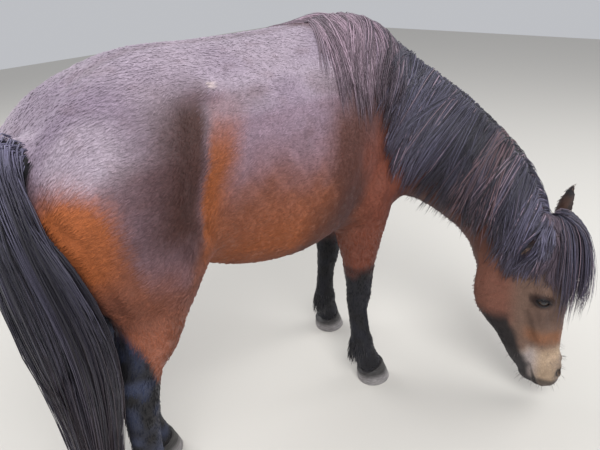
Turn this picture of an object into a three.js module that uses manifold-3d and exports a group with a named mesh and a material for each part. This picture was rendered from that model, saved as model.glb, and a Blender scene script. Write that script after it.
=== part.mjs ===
// A grazing Shetland pony at life size, standing with its neck turned to its right.
// Millimetres, +X forward along the trunk, +Y to the pony's left, +Z up, ground at Z = 0.
import * as THREE from 'three';
import { LoftGeometry } from 'three/addons/geometries/LoftGeometry.js';
import { mergeVertices } from 'three/addons/utils/BufferGeometryUtils.js';
import Module from 'manifold-3d';

const wasm = await Module();
wasm.setup();

const v = (x, y, z) => new THREE.Vector3(x, y, z);
const radians = THREE.MathUtils.degToRad;
const mix = THREE.MathUtils.lerp;
const below = (point, dx, dy, dz) => v(point.x + dx, point.y + dy, point.z + dz);

// Driving dimensions
const GAP = 0.3;
const UP = v(0, 0, 1);
const FORWARD = v(1, 0, 0);
const BOTH_SIDES = [-1, 1];

// Trunk, section by section from the buttocks to the front of the chest:
// place along X, height of the back, height of the belly, level of the widest point, half width
const TRUNK = [
  { x: -575, top: 790, bottom: 715, wide: 755, half: 35 },
  { x: -552, top: 828, bottom: 665, wide: 750, half: 82 },
  { x: -515, top: 872, bottom: 625, wide: 752, half: 128 },
  { x: -450, top: 934, bottom: 600, wide: 765, half: 168 },
  { x: -370, top: 974, bottom: 578, wide: 778, half: 190 },
  { x: -280, top: 985, bottom: 548, wide: 770, half: 198 },
  { x: -180, top: 980, bottom: 500, wide: 735, half: 208 },
  { x: -60, top: 977, bottom: 472, wide: 705, half: 224 },
  { x: 60, top: 977, bottom: 475, wide: 705, half: 215 },
  { x: 150, top: 980, bottom: 490, wide: 710, half: 190 },
  { x: 230, top: 976, bottom: 510, wide: 720, half: 165 },
  { x: 310, top: 930, bottom: 530, wide: 710, half: 150 },
  { x: 380, top: 850, bottom: 560, wide: 690, half: 130 },
  { x: 430, top: 770, bottom: 600, wide: 680, half: 90 },
  { x: 455, top: 720, bottom: 640, wide: 675, half: 45 },
];
const TRUNK_ROUNDNESS = 2.25;

// Forelegs and hind legs: the joints of each, from the trunk down to the middle of the sole
const FORELEGS = {
  right: {
    side: -1, shoulder: v(340, -105, 640), elbow: v(180, -122, 560), knee: v(193, -106, 292),
    fetlock: v(176, -128, 114), hoof: v(204, -148, 0),
  },
  left: {
    side: 1, shoulder: v(350, 105, 640), elbow: v(215, 122, 560), knee: v(310, 110, 295),
    fetlock: v(292, 114, 114), hoof: v(312, 116, 0),
  },
};
const HINDLEGS = {
  right: {
    side: -1, hip: v(-410, -95, 795), stifle: v(-408, -128, 655), gaskin: v(-434, -131, 530),
    hock: v(-486, -130, 390), fetlock: v(-490, -126, 116), hoof: v(-462, -128, 0),
  },
  left: {
    side: 1, hip: v(-410, 95, 795), stifle: v(-375, 130, 655), gaskin: v(-392, 125, 530),
    hock: v(-435, 106, 390), fetlock: v(-388, 84, 116), hoof: v(-360, 78, 0),
  },
};

// Hooves: half width and half length of the sole, and the height of the wall at toe and heel
const HOOF = { halfWidth: 44, halfLength: 49, toe: 62, heel: 34, topShrink: 0.78, lean: 12, facets: 18 };

// Head: where the lips hang, where the poll is, and where the face looks
const LIPS = v(425, -540, 48);
const POLL = v(465, -503, 512);
const FACE_HEADING = -70;

// Neck: its middle line from inside the chest to the atlas, and at fractions of its length
// the height of the crest above that line, the drop of the throat below it, and the half width
const NECK_LINE = [v(150, 0, 800), v(280, -12, 778), v(370, -90, 722), v(420, -215, 640), v(438, -345, 545)];
const NECK = [
  { t: 0.0, rise: 152, drop: 215, half: 130 },
  { t: 0.15, rise: 158, drop: 212, half: 140 },
  { t: 0.3, rise: 156, drop: 198, half: 134 },
  { t: 0.5, rise: 152, drop: 176, half: 114 },
  { t: 0.7, rise: 140, drop: 150, half: 98 },
  { t: 0.88, rise: 122, drop: 136, half: 90 },
  { t: 1.0, rise: 102, drop: 118, half: 78 },
];
const CREST_NARROWING = 0.42;

// Soft join of two distances, k wide
function softMin(a, b, k) {
  const h = Math.max(k - Math.abs(a - b), 0) / k;
  return Math.min(a, b) - h * h * k * 0.25;
}

// A muscle or bone between two points, with a radius at each end
function strand(from, to, fromRadius, toRadius, blend = 30) {
  const along = to.clone().sub(from);
  const lengthSq = along.lengthSq();
  const offset = v(0, 0, 0);
  const measure = (p) => {
    offset.subVectors(p, from);
    const t = THREE.MathUtils.clamp(offset.dot(along) / lengthSq, 0, 1);
    offset.addScaledVector(along, -t);
    return offset.length() - mix(fromRadius, toRadius, t);
  };
  return { measure, blend };
}

// A rounded mass with three radii along the axes of a frame
function mass(centre, radii, frame, blend = 30) {
  const inverse = frame.clone().setPosition(centre).invert();
  const local = v(0, 0, 0);
  const scaled = v(0, 0, 0);
  const measure = (p) => {
    local.copy(p).applyMatrix4(inverse);
    scaled.copy(local).divide(radii);
    const reach = scaled.length();
    const slope = scaled.divide(radii).length();
    return slope < 1e-9 ? -Math.min(radii.x, radii.y, radii.z) : reach * (reach - 1) / slope;
  };
  return { measure, blend };
}

// Row of a table at a place along it, eased between the named ones
function eased(table, along, place, keys) {
  const last = table.length - 1;
  const i = THREE.MathUtils.clamp(table.filter((row) => row[along] <= place).length - 1, 0, last - 1);
  const [a, b] = [table[i], table[i + 1]];
  const [before, after] = [table[Math.max(i - 1, 0)], table[Math.min(i + 2, last)]];
  const step = b[along] - a[along];
  const t = THREE.MathUtils.clamp((place - a[along]) / step, 0, 1);
  const row = {};
  for (const key of keys) {
    const slopeA = (b[key] - before[key]) / (b[along] - before[along]) * step;
    const slopeB = (after[key] - a[key]) / (after[along] - a[along]) * step;
    row[key] = (2 * t ** 3 - 3 * t ** 2 + 1) * a[key] + (t ** 3 - 2 * t ** 2 + t) * slopeA
      + (3 * t ** 2 - 2 * t ** 3) * b[key] + (t ** 3 - t ** 2) * slopeB;
  }
  return row;
}

const trunk = {
  blend: 30,
  measure: (p) => {
    const x = THREE.MathUtils.clamp(p.x, TRUNK[0].x, TRUNK[TRUNK.length - 1].x);
    const s = eased(TRUNK, 'x', x, ['top', 'bottom', 'wide', 'half']);
    const height = p.z > s.wide ? s.top - s.wide : s.wide - s.bottom;
    const reach = (Math.abs(p.y / s.half) ** TRUNK_ROUNDNESS
      + Math.abs((p.z - s.wide) / height) ** TRUNK_ROUNDNESS) ** (1 / TRUNK_ROUNDNESS);
    const inSection = (reach - 1) * Math.min(s.half, height);
    const beyond = Math.abs(p.x - x);
    return beyond > 0 ? Math.hypot(Math.max(inSection, 0), beyond) + Math.min(inSection, 0) : inSection;
  },
};

function forelegParts(leg) {
  const kneeTop = below(leg.knee, -2, 0, 62);
  const cannonTop = below(leg.knee, -6, 0, -45);
  const pastern = leg.fetlock.clone().lerp(leg.hoof, 0.5).add(v(4, 0, 0));
  return [
    strand(below(leg.shoulder, -110, -15 * leg.side, 260), leg.shoulder, 62, 88, 60),
    strand(leg.shoulder, leg.elbow, 84, 72, 50),
    strand(leg.elbow, kneeTop, 74, 41, 40),
    strand(below(leg.elbow, -30, 0, 20), below(leg.elbow, 5, 0, -130), 45, 42, 40),
    strand(below(leg.knee, 2, 0, 28), below(leg.knee, 1, 0, -20), 38, 36, 22),
    strand(below(leg.knee, -24, 0, 10), below(leg.knee, -24, 0, -8), 17, 15, 16),
    strand(cannonTop, below(leg.fetlock, 4, 0, 25), 27, 26, 20),
    strand(below(cannonTop, -15, 0, 0), below(leg.fetlock, -12, 0, 30), 20, 20, 14),
    strand(below(leg.fetlock, 2, 0, 8), below(leg.fetlock, -6, 0, -4), 34, 34, 18),
    strand(leg.fetlock, pastern, 30, 33, 18),
    strand(pastern, below(leg.hoof, 0, 0, 30), 34, 37, 16),
  ];
}

function hindlegParts(leg) {
  const cannonTop = below(leg.hock, 0, 0, -50);
  const pastern = leg.fetlock.clone().lerp(leg.hoof, 0.5).add(v(4, 0, 0));
  return [
    strand(leg.hip, leg.stifle, 126, 96, 60),
    strand(below(leg.hip, -85, 5 * leg.side, -30), below(leg.stifle, -60, 0, -20), 86, 70, 50),
    strand(leg.stifle, leg.gaskin, 84, 56, 40),
    strand(leg.gaskin, below(leg.hock, 10, 0, 45), 57, 38, 40),
    strand(below(leg.gaskin, -34, 0, -10), below(leg.hock, -32, 0, 30), 26, 18, 26),
    strand(below(leg.hock, 4, 0, 25), below(leg.hock, 2, 0, -25), 39, 36, 22),
    strand(below(leg.hock, -24, 0, 20), below(leg.hock, -18, 0, -30), 22, 19, 16),
    strand(cannonTop, below(leg.fetlock, 4, 0, 25), 29, 27, 20),
    strand(below(cannonTop, -16, 0, 0), below(leg.fetlock, -13, 0, 30), 21, 20, 14),
    strand(below(leg.fetlock, 2, 0, 8), below(leg.fetlock, -6, 0, -4), 35, 35, 18),
    strand(leg.fetlock, pastern, 31, 33, 18),
    strand(pastern, below(leg.hoof, 0, 0, 30), 34, 37, 16),
  ];
}

// Head frame at the lips: X out of the face, Y to the pony's left, Z up to the poll
const headUp = POLL.clone().sub(LIPS).normalize();
const faceOut = v(Math.cos(radians(FACE_HEADING)), Math.sin(radians(FACE_HEADING)), 0);
faceOut.projectOnPlane(headUp).normalize();
const headLeft = v(0, 0, 0).crossVectors(headUp, faceOut);
const headFrame = new THREE.Matrix4().makeBasis(faceOut, headLeft, headUp);
const onHead = (x, y, z) => v(x, y, z).applyMatrix4(headFrame).add(LIPS);
const headWay = (x, y, z) => v(x, y, z).applyMatrix4(headFrame).normalize();
const headMass = (x, y, z, rx, ry, rz, blend) => mass(onHead(x, y, z), v(rx, ry, rz), headFrame, blend);
const headStrand = (a, b, ra, rb, blend) => strand(onHead(...a), onHead(...b), ra, rb, blend);

// Eye: radius of the ball and its place on the right and left of the head
const EYE = { radius: 18, x: -18, y: 71, z: 280 };

const headParts = [
  headMass(-42, 0, 380, 72, 64, 90, 40),
  headMass(-18, 0, 315, 55, 62, 84, 40),
  headStrand([-6, 0, 290], [4, 0, 120], 50, 34, 40),
  headStrand([-62, 0, 250], [-34, 0, 90], 60, 40, 40),
  ...BOTH_SIDES.flatMap((s) => [
    headMass(-14, 54 * s, 298, 34, 31, 38, 30),
    headMass(-118, 42 * s, 288, 76, 33, 98, 36),
    headStrand([-122, 30 * s, 232], [-62, 14 * s, 88], 40, 24, 30),
    headStrand([-18, 66 * s, 248], [-10, 44 * s, 165], 14, 8, 24),
    headMass(24, 25 * s, 66, 22, 18, 26, 18),
  ]),
  headMass(-112, 0, 285, 64, 30, 84, 36),
  headMass(2, 0, 60, 42, 42, 50, 26),
  headMass(8, 0, 24, 34, 35, 24, 18),
  headMass(-36, 0, 36, 27, 28, 28, 18),
];

const neckCurve = new THREE.CatmullRomCurve3([...NECK_LINE, onHead(-86, 0, 392)]);

// Place, direction and sideways axes of the neck at a fraction of its length
function neckFrame(t) {
  const along = neckCurve.getTangent(t);
  const up = UP.clone().projectOnPlane(along).normalize();
  return { centre: neckCurve.getPoint(t), along, up, across: v(0, 0, 0).crossVectors(along, up) };
}

const neckFrames = Array.from({ length: 41 }, (_, i) => ({ t: i / 40, ...neckFrame(i / 40) }));
const NECK_STEP = neckCurve.getLength() / (neckFrames.length - 1);
const neck = {
  blend: 60,
  measure: (p) => {
    let near = neckFrames[0];
    for (const frame of neckFrames) {
      near = frame.centre.distanceToSquared(p) < near.centre.distanceToSquared(p) ? frame : near;
    }
    const offset = p.clone().sub(near.centre);
    const ahead = offset.dot(near.along);
    const t = THREE.MathUtils.clamp(near.t + ahead / NECK_STEP / (neckFrames.length - 1), 0, 1);
    const section = eased(NECK, 't', t, ['rise', 'drop', 'half']);
    const high = offset.dot(near.up);
    const height = high > 0 ? section.rise : section.drop;
    const half = section.half * (1 - CREST_NARROWING * THREE.MathUtils.clamp(high / height, 0, 1) ** 2);
    const reach = Math.hypot(offset.dot(near.across) / half, high / height);
    const beyond = Math.max(Math.abs(ahead) - NECK_STEP, 0);
    return (reach - 1) * Math.min(half, height) + beyond;
  },
};

const fleshParts = [
  trunk,
  neck,
  ...Object.values(FORELEGS).flatMap(forelegParts),
  ...Object.values(HINDLEGS).flatMap(hindlegParts),
  ...headParts,
];

// Signed distance from a point to the skin, negative inside
function flesh(p) {
  let distance = 1e4;
  for (const part of fleshParts) {
    distance = softMin(distance, part.measure(p), part.blend);
  }
  return distance;
}

// Direction straight out of the flesh at a point
function outward(p) {
  const step = 2;
  return v(
    flesh(below(p, step, 0, 0)) - flesh(below(p, -step, 0, 0)),
    flesh(below(p, 0, step, 0)) - flesh(below(p, 0, -step, 0)),
    flesh(below(p, 0, 0, step)) - flesh(below(p, 0, 0, -step)),
  ).normalize();
}

// Planes where one stretch of flesh hands over to the next: a place, and the way to the far part
const NECK_BASE = { centre: neckFrame(0.27).centre, normal: v(0.92, -0.22, -0.1).normalize() };
const THROAT = { centre: onHead(-112, 0, 372), normal: headWay(0.8, 0, -0.6) };
const ELBOW_LEVEL = { centre: v(0, 0, 545), normal: v(0, 0, -1) };
const STIFLE_LEVEL = { centre: v(0, 0, 640), normal: v(0, 0, -1) };
const SINK = 3;
const SINK_RAMP = 20;
const pastPlane = (plane, p) => (p.x - plane.centre.x) * plane.normal.x
  + (p.y - plane.centre.y) * plane.normal.y + (p.z - plane.centre.z) * plane.normal.z;
const sunk = (past) => SINK * THREE.MathUtils.clamp(past / SINK_RAMP, 0, 1);

// Distance from a middle line out to the skin, less where the neighbouring stretch carries it
function walkOut(origin, direction, reach, sink) {
  const p = v(0, 0, 0);
  let out = 1;
  for (let step = 0; step < 80; step++) {
    p.copy(origin).addScaledVector(direction, out);
    const distance = flesh(p) + sink(p);
    if (distance > -0.1) {
      return Math.max(out - distance, 1);
    }
    out += Math.max(-distance * 0.7, 0.4);
    if (out > reach) {
      return reach;
    }
  }
  return out;
}

// A closed mesh with shared corners as a solid
function solidOf(geometry) {
  const bare = new THREE.BufferGeometry();
  bare.setAttribute('position', geometry.attributes.position);
  bare.setIndex(geometry.index);
  const merged = mergeVertices(bare, 1e-3);
  const index = merged.index.array;
  const corners = [];
  for (let i = 0; i < index.length; i += 3) {
    const [a, b, c] = [index[i], index[i + 1], index[i + 2]];
    if (a !== b && b !== c && c !== a) {
      corners.push(a, b, c);
    }
  }
  return new wasm.Manifold(new wasm.Mesh({
    numProp: 3,
    vertProperties: Float32Array.from(merged.attributes.position.array),
    triVerts: Uint32Array.from(corners),
  }));
}

const CLOSED = { closed: true, capStart: true, capEnd: true };
const loft = (sections) => solidOf(new LoftGeometry(sections, CLOSED));
const placed = (geometry, matrix) => solidOf(geometry.applyMatrix4(matrix));

// Rings of skin points round a middle line
function fleshLoft({ curve, stations, facets, reach, reference, sink }) {
  return loft(stations.map((t) => {
    const centre = curve.getPoint(t);
    const along = curve.getTangent(t);
    const up = reference.clone().projectOnPlane(along).normalize();
    const across = v(0, 0, 0).crossVectors(along, up);
    return Array.from({ length: facets }, (_, j) => {
      const angle = j / facets * Math.PI * 2;
      const way = up.clone().multiplyScalar(Math.cos(angle)).addScaledVector(across, Math.sin(angle));
      return centre.clone().addScaledVector(way, walkOut(centre, way, reach(t, way), sink));
    });
  }));
}

// Value at a fraction of the way along a list of evenly placed ones
function share(list, t) {
  const place = t * (list.length - 1);
  const i = Math.min(Math.floor(place), list.length - 2);
  return mix(list[i], list[i + 1], place - i);
}

// Fractions from 0 to 1, drawn towards both ends by ease
const spread = (count, ease = 0) => Array.from({ length: count }, (_, i) => {
  const t = i / (count - 1);
  return mix(t, 0.5 - 0.5 * Math.cos(t * Math.PI), ease);
});

const trunkLoft = fleshLoft({
  curve: new THREE.LineCurve3(v(-578, 0, 752), v(458, 0, 690)),
  stations: spread(26, 0.55),
  facets: 27,
  reach: (t, way) => (way.z < 0 && (t < 0.34 || t > 0.58) ? 240 : 310),
  reference: UP,
  sink: (p) => Math.max(
    sunk(pastPlane(NECK_BASE, p)),
    p.x < -200
      ? sunk(pastPlane(STIFLE_LEVEL, p))
      : sunk(pastPlane(ELBOW_LEVEL, p)) * (Math.abs(p.y) > 60 ? 1 : 0),
  ),
});
const neckLoft = fleshLoft({
  curve: neckCurve,
  stations: spread(18).map((t) => mix(0.1, 1, t ** 1.15)),
  facets: 20,
  reach: (t, way) => mix(340, 175, THREE.MathUtils.smoothstep(t, 0.25, 0.7))
    * (way.z < -0.6 && t < 0.4 ? 0.68 : 1),
  reference: UP,
  sink: (p) => Math.max(sunk(-pastPlane(NECK_BASE, p)), sunk(pastPlane(THROAT, p))),
});
const headLoft = fleshLoft({
  curve: new THREE.CatmullRomCurve3([
    onHead(-56, 0, 464), onHead(-50, 0, 400), onHead(-46, 0, 300),
    onHead(-34, 0, 180), onHead(-8, 0, 60), onHead(-6, 0, 0),
  ]),
  stations: spread(25, 0.7),
  facets: 25,
  reach: (t) => mix(120, 190, Math.min(t * 3, 1)),
  reference: faceOut,
  sink: (p) => sunk(-pastPlane(THROAT, p)),
});

const legLofts = [];
for (const leg of Object.values(FORELEGS)) {
  legLofts.push(fleshLoft({
    curve: new THREE.CatmullRomCurve3([
      below(leg.elbow, 40, 0, 60), leg.elbow,
      below(leg.knee, -2, 0, 60), leg.knee, below(leg.knee, -10, 0, -60),
      below(leg.fetlock, -2, 0, 20), below(leg.hoof, -6, 0, 66), below(leg.hoof, 0, 0, 20),
    ]),
    stations: spread(20),
    facets: 11,
    reach: (t) => mix(90, 70, Math.min(t * 3, 1)),
    reference: FORWARD,
    sink: (p) => sunk(-pastPlane(ELBOW_LEVEL, p)),
  }));
}
for (const leg of Object.values(HINDLEGS)) {
  legLofts.push(fleshLoft({
    curve: new THREE.CatmullRomCurve3([
      below(leg.hip, -20, 0, -40), below(leg.stifle, -35, 0, 0), leg.gaskin.clone(),
      below(leg.hock, 0, 0, 55), below(leg.hock, -6, 0, 0), below(leg.hock, -8, 0, -60),
      below(leg.fetlock, -2, 0, 20), below(leg.hoof, -6, 0, 66), below(leg.hoof, 0, 0, 20),
    ]),
    stations: spread(22),
    facets: 11,
    reach: (t) => mix(150, 80, Math.min(t * 2.5, 1)),
    reference: FORWARD,
    sink: (p) => sunk(-pastPlane(STIFLE_LEVEL, p)),
  }));
}

// A thin plate that parts the flesh along a plane
function parting(centre, normal, width, depth) {
  const turn = new THREE.Quaternion().setFromUnitVectors(UP, normal.clone().normalize());
  const matrix = new THREE.Matrix4().compose(centre, turn, v(1, 1, 1));
  return placed(new THREE.BoxGeometry(width, depth, GAP), matrix);
}

// Ears: a leaf with a cup hollowed out of its front
const EAR = { length: 112, halfWidth: 29, halfDepth: 19, root: 26, bare: 14, facets: 10 };
const EARS = {
  right: { base: onHead(2, -42, 436), up: headWay(-0.68, -0.68, -0.24), front: headWay(0.25, -0.55, -0.8) },
  left: { base: onHead(0, 40, 436), up: headWay(0.26, 0.3, 0.91), front: headWay(0.85, 0.5, -0.2) },
};
const EAR_OUTLINE = [
  [-0.24, 0.86], [0, 0.84], [0.2, 0.95], [0.4, 1], [0.6, 0.9], [0.78, 0.66], [0.91, 0.36], [1, 0.07],
];

function earSections(ear, scale, shift, from, to) {
  const side = v(0, 0, 0).crossVectors(ear.up, ear.front).normalize();
  const front = v(0, 0, 0).crossVectors(side, ear.up).normalize();
  return EAR_OUTLINE.map(([height, share]) => {
    const along = mix(from, to, (height - EAR_OUTLINE[0][0]) / (1 - EAR_OUTLINE[0][0]));
    const centre = ear.base.clone().addScaledVector(ear.up, along).addScaledVector(front, shift);
    return Array.from({ length: EAR.facets }, (_, j) => {
      const angle = j / EAR.facets * Math.PI * 2;
      return centre.clone()
        .addScaledVector(front, Math.cos(angle) * EAR.halfDepth * share * scale)
        .addScaledVector(side, Math.sin(angle) * EAR.halfWidth * share * scale);
    });
  });
}

function earSolid(ear) {
  const outer = loft(earSections(ear, 1, 0, -EAR.root, EAR.length));
  const cup = loft(earSections(ear, 0.8, EAR.halfDepth * 0.42, EAR.root * 0.35, EAR.length * 0.94));
  return outer.subtract(cup);
}

// Eyes: a ball in a socket, behind two lids that leave a narrow opening
const LID = { thickness: 4, opening: 12, width: 32, droop: -3 };

function eyeSolids(s) {
  const centre = onHead(EYE.x, EYE.y * s, EYE.z);
  const out = headWay(0.3, s, 0.02);
  const turn = new THREE.Matrix4().makeBasis(
    v(0, 0, 0).crossVectors(headUp, out).normalize(), headUp.clone().projectOnPlane(out).normalize(), out,
  ).setPosition(centre);
  const ball = (radius) => placed(new THREE.IcosahedronGeometry(radius, 2), turn);
  const slit = new THREE.Shape();
  slit.moveTo(-LID.width / 2, 0);
  slit.quadraticCurveTo(0, LID.opening + LID.droop * 2, LID.width / 2, 0);
  slit.quadraticCurveTo(0, -LID.opening + LID.droop, -LID.width / 2, 0);
  const deep = { depth: EYE.radius * 2, bevelEnabled: false, curveSegments: 5 };
  const window = new THREE.ExtrudeGeometry(slit, deep);
  return {
    lids: ball(EYE.radius + LID.thickness),
    socket: ball(EYE.radius + GAP).add(placed(window, turn)),
    eye: ball(EYE.radius),
  };
}

// Nostrils and the line of the mouth
function nostril(s) {
  const turn = new THREE.Matrix4().makeBasis(faceOut, headLeft, headUp)
    .multiply(new THREE.Matrix4().makeRotationZ(radians(-38 * s)))
    .multiply(new THREE.Matrix4().makeRotationY(radians(24)));
  const pit = new THREE.SphereGeometry(1, 10, 8).applyMatrix4(new THREE.Matrix4().makeScale(14, 7, 15));
  return placed(pit, turn.setPosition(onHead(42, 29 * s, 62)));
}

const MOUTH = { corner: [-34, 44, 82], middle: [-14, 30, 20], front: [2, 0, 9], depth: 11, height: 3.4 };
function mouthLine() {
  const outline = [];
  for (const s of BOTH_SIDES) {
    const ends = [MOUTH.corner, MOUTH.middle, MOUTH.front].map(([x, y, z]) => onHead(x, y * s, z));
    const line = new THREE.CatmullRomCurve3(s < 0 ? ends : ends.reverse()).getPoints(6);
    outline.push(...(s < 0 ? line : line.slice(1)));
  }
  return loft(outline.map((p, i) => {
    const share = Math.sin((i + 0.6) / (outline.length + 0.2) * Math.PI) ** 0.5;
    const out = outward(p);
    const surface = p.clone().addScaledVector(out, -flesh(p));
    const next = outline[Math.min(i + 1, outline.length - 1)];
    const along = next.clone().sub(outline[Math.max(i - 1, 0)]).normalize();
    const rise = v(0, 0, 0).crossVectors(out, along).normalize();
    const at = (deep, high) => surface.clone().addScaledVector(out, deep).addScaledVector(rise, high);
    return [
      at(6, MOUTH.height * 1.6), at(6, -MOUTH.height * 1.6),
      at(-MOUTH.depth * share, -0.5), at(-MOUTH.depth * share, 0.5),
    ];
  }));
}

// Hooves: a wall that leans forward from the hair line to a flat sole
function hoofSections(leg, heading) {
  const ahead = v(Math.cos(radians(heading)), Math.sin(radians(heading)), 0);
  const aside = v(-ahead.y, ahead.x, 0);
  return [0, 0.5, 1].map((rise) => Array.from({ length: HOOF.facets }, (_, j) => {
    const angle = j / HOOF.facets * Math.PI * 2;
    const [c, s] = [Math.cos(angle), Math.sin(angle)];
    const size = mix(1, HOOF.topShrink, rise);
    const heelCut = c < -0.55 ? 0.9 : 1;
    const height = rise * mix(HOOF.heel, HOOF.toe, (c + 1) / 2);
    return leg.hoof.clone()
      .addScaledVector(ahead, c * HOOF.halfLength * size * heelCut - rise * HOOF.lean)
      .addScaledVector(aside, s * HOOF.halfWidth * size)
      .add(v(0, 0, height));
  }));
}
const coronet = (leg, heading, lift) => {
  const ahead = v(Math.cos(radians(heading)), Math.sin(radians(heading)), 0);
  const slope = (HOOF.toe - HOOF.heel) / (2 * HOOF.halfLength * HOOF.topShrink);
  const normal = UP.clone().addScaledVector(ahead, -slope).normalize();
  const centre = leg.hoof.clone().addScaledVector(ahead, -HOOF.lean);
  centre.z += (HOOF.toe + HOOF.heel) / 2 + lift;
  return { centre, normal };
};

// Tail: a bone that leaves the croup and bends down, wrapped in long hair that hangs a little to the right
const DOCK_LINE = [
  v(-440, 0, 800), v(-512, -6, 842), v(-558, -18, 850), v(-594, -30, 818),
  v(-604, -42, 742), v(-597, -56, 640), v(-586, -66, 560),
];
const DOCK_RADII = [36, 34, 31, 29, 26, 21, 13];
const DOCK_ROOT = { centre: v(-570, -21, 843), normal: v(-0.86, -0.26, -0.4).normalize() };
const dockCurve = new THREE.CatmullRomCurve3(DOCK_LINE);
const dock = loft(spread(12).map((t) => {
  const centre = dockCurve.getPoint(t);
  const along = dockCurve.getTangent(t);
  const side = v(0, 1, 0).projectOnPlane(along).normalize();
  const across = v(0, 0, 0).crossVectors(along, side);
  const radius = share(DOCK_RADII, t);
  return Array.from({ length: 12 }, (_, j) => {
    const angle = j / 12 * Math.PI * 2;
    return centre.clone()
      .addScaledVector(side, Math.cos(angle) * radius)
      .addScaledVector(across, Math.sin(angle) * radius);
  });
}));
const dockLevel = DOCK_ROOT.centre.dot(DOCK_ROOT.normal);
const dockStub = dock.trimByPlane(DOCK_ROOT.normal.clone().negate().toArray(), -dockLevel);
const dockBone = dock.trimByPlane(DOCK_ROOT.normal.toArray(), dockLevel + GAP);

// Crest and poll: the ridges that the mane and the forelock grow from
const CREST = { from: 0.01, to: 0.93, halfWidth: 17, depth: 20, height: 30 };
function crestPoint(t) {
  const frame = neckFrame(t);
  return frame.centre.clone().addScaledVector(frame.up, walkOut(frame.centre, frame.up, 300, () => 0));
}
function crestStrip(margin) {
  return loft(spread(18).map((share) => {
    const t = mix(CREST.from - margin / 900, CREST.to + margin / 900, share);
    const { up, across } = neckFrame(t);
    const at = (side, rise) => crestPoint(t).addScaledVector(across, side).addScaledVector(up, rise);
    const [w, d] = [CREST.halfWidth + margin, CREST.depth + margin];
    return [at(-w, -d), at(-w, CREST.height), at(w, CREST.height), at(w, -d)];
  }));
}
const POLL_CAP = { x: -8, z: 462, halfWidth: 20, halfLength: 26, depth: 16, height: 60 };
function pollCap(margin) {
  const size = [
    2 * (POLL_CAP.halfLength + margin),
    2 * (POLL_CAP.halfWidth + margin),
    POLL_CAP.depth + POLL_CAP.height + margin,
  ];
  const rise = (POLL_CAP.height - POLL_CAP.depth - margin) / 2;
  const seat = headFrame.clone().setPosition(onHead(POLL_CAP.x, 0, POLL_CAP.z + rise));
  return placed(new THREE.BoxGeometry(...size), seat);
}

// Draws between two numbers in an order that never changes
function drawsFrom(seed) {
  let state = seed;
  return (low, high) => {
    state = (state * 48271) % 2147483647;
    return mix(low, high, state / 2147483647);
  };
}

// A flat tapered lock of hair along a line of places, three-sided, with its ridge turned to the backs.
// Its width and thickness are shares of the full ones, at places spaced evenly from root to tip.
const LOCK = {
  gathered: [0.34, 0.46, 0.8, 1, 0.95, 0.72, 0.44, 0.05],
  thins: [1, 1, 1, 0.95, 0.85, 0.7, 0.5, 0.12],
};
function lockOf(places, backs, widths, width, thickness) {
  const last = places.length - 1;
  return loft(places.map((p, i) => {
    const along = places[Math.min(i + 1, last)].clone().sub(places[Math.max(i - 1, 0)]).normalize();
    const back = backs[i].clone().projectOnPlane(along).normalize();
    const aside = v(0, 0, 0).crossVectors(back, along);
    const half = width * share(widths, i / last) / 2;
    const thin = thickness * share(LOCK.thins, i / last);
    return [
      p.clone().addScaledVector(aside, half),
      p.clone().addScaledVector(back, thin),
      p.clone().addScaledVector(aside, -half),
    ];
  }));
}

// A place moved straight out of the flesh until it is clear of it
function liftedClear(p, clear) {
  return p.addScaledVector(outward(p), Math.max(clear - flesh(p), 0));
}

// Mane: a smooth mass of hair that hangs down the right of the neck from the crest, in one form to its tips.
// It turns from the left of the crest to the right by these angles about the middle of the neck.
const MANE = { from: 0.01, to: 0.92, thick: 26, clear: 3, leftReach: 16, rightReach: 118, stops: 9, sections: 16 };
function maneMass() {
  return loft(spread(MANE.sections).map((share) => {
    const t = mix(MANE.from, MANE.to, share);
    const { centre, up, across } = neckFrame(t);
    const ring = (degrees, rise) => {
      const angle = radians(degrees);
      const way = up.clone().multiplyScalar(Math.cos(angle)).addScaledVector(across, Math.sin(angle));
      return centre.clone().addScaledVector(way, walkOut(centre, way, 300, () => 0) + rise);
    };
    const right = MANE.rightReach * mix(0.3, 1, THREE.MathUtils.smoothstep(share, 0, 0.75));
    const thick = MANE.thick * mix(0.3, 1, Math.min(share * 4, 1));
    const angles = spread(MANE.stops).map((k) => mix(-MANE.leftReach, right, k));
    const crown = (i) => Math.sin((i + 0.7) / (MANE.stops + 0.4) * Math.PI) ** 0.5;
    const outer = angles.map((a, i) => ring(a, MANE.clear + thick * crown(i)));
    const inner = angles.map((a) => ring(a, Math.abs(a) < 6 ? -8 : MANE.clear)).reverse();
    return [...outer, ...inner];
  }));
}

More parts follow.
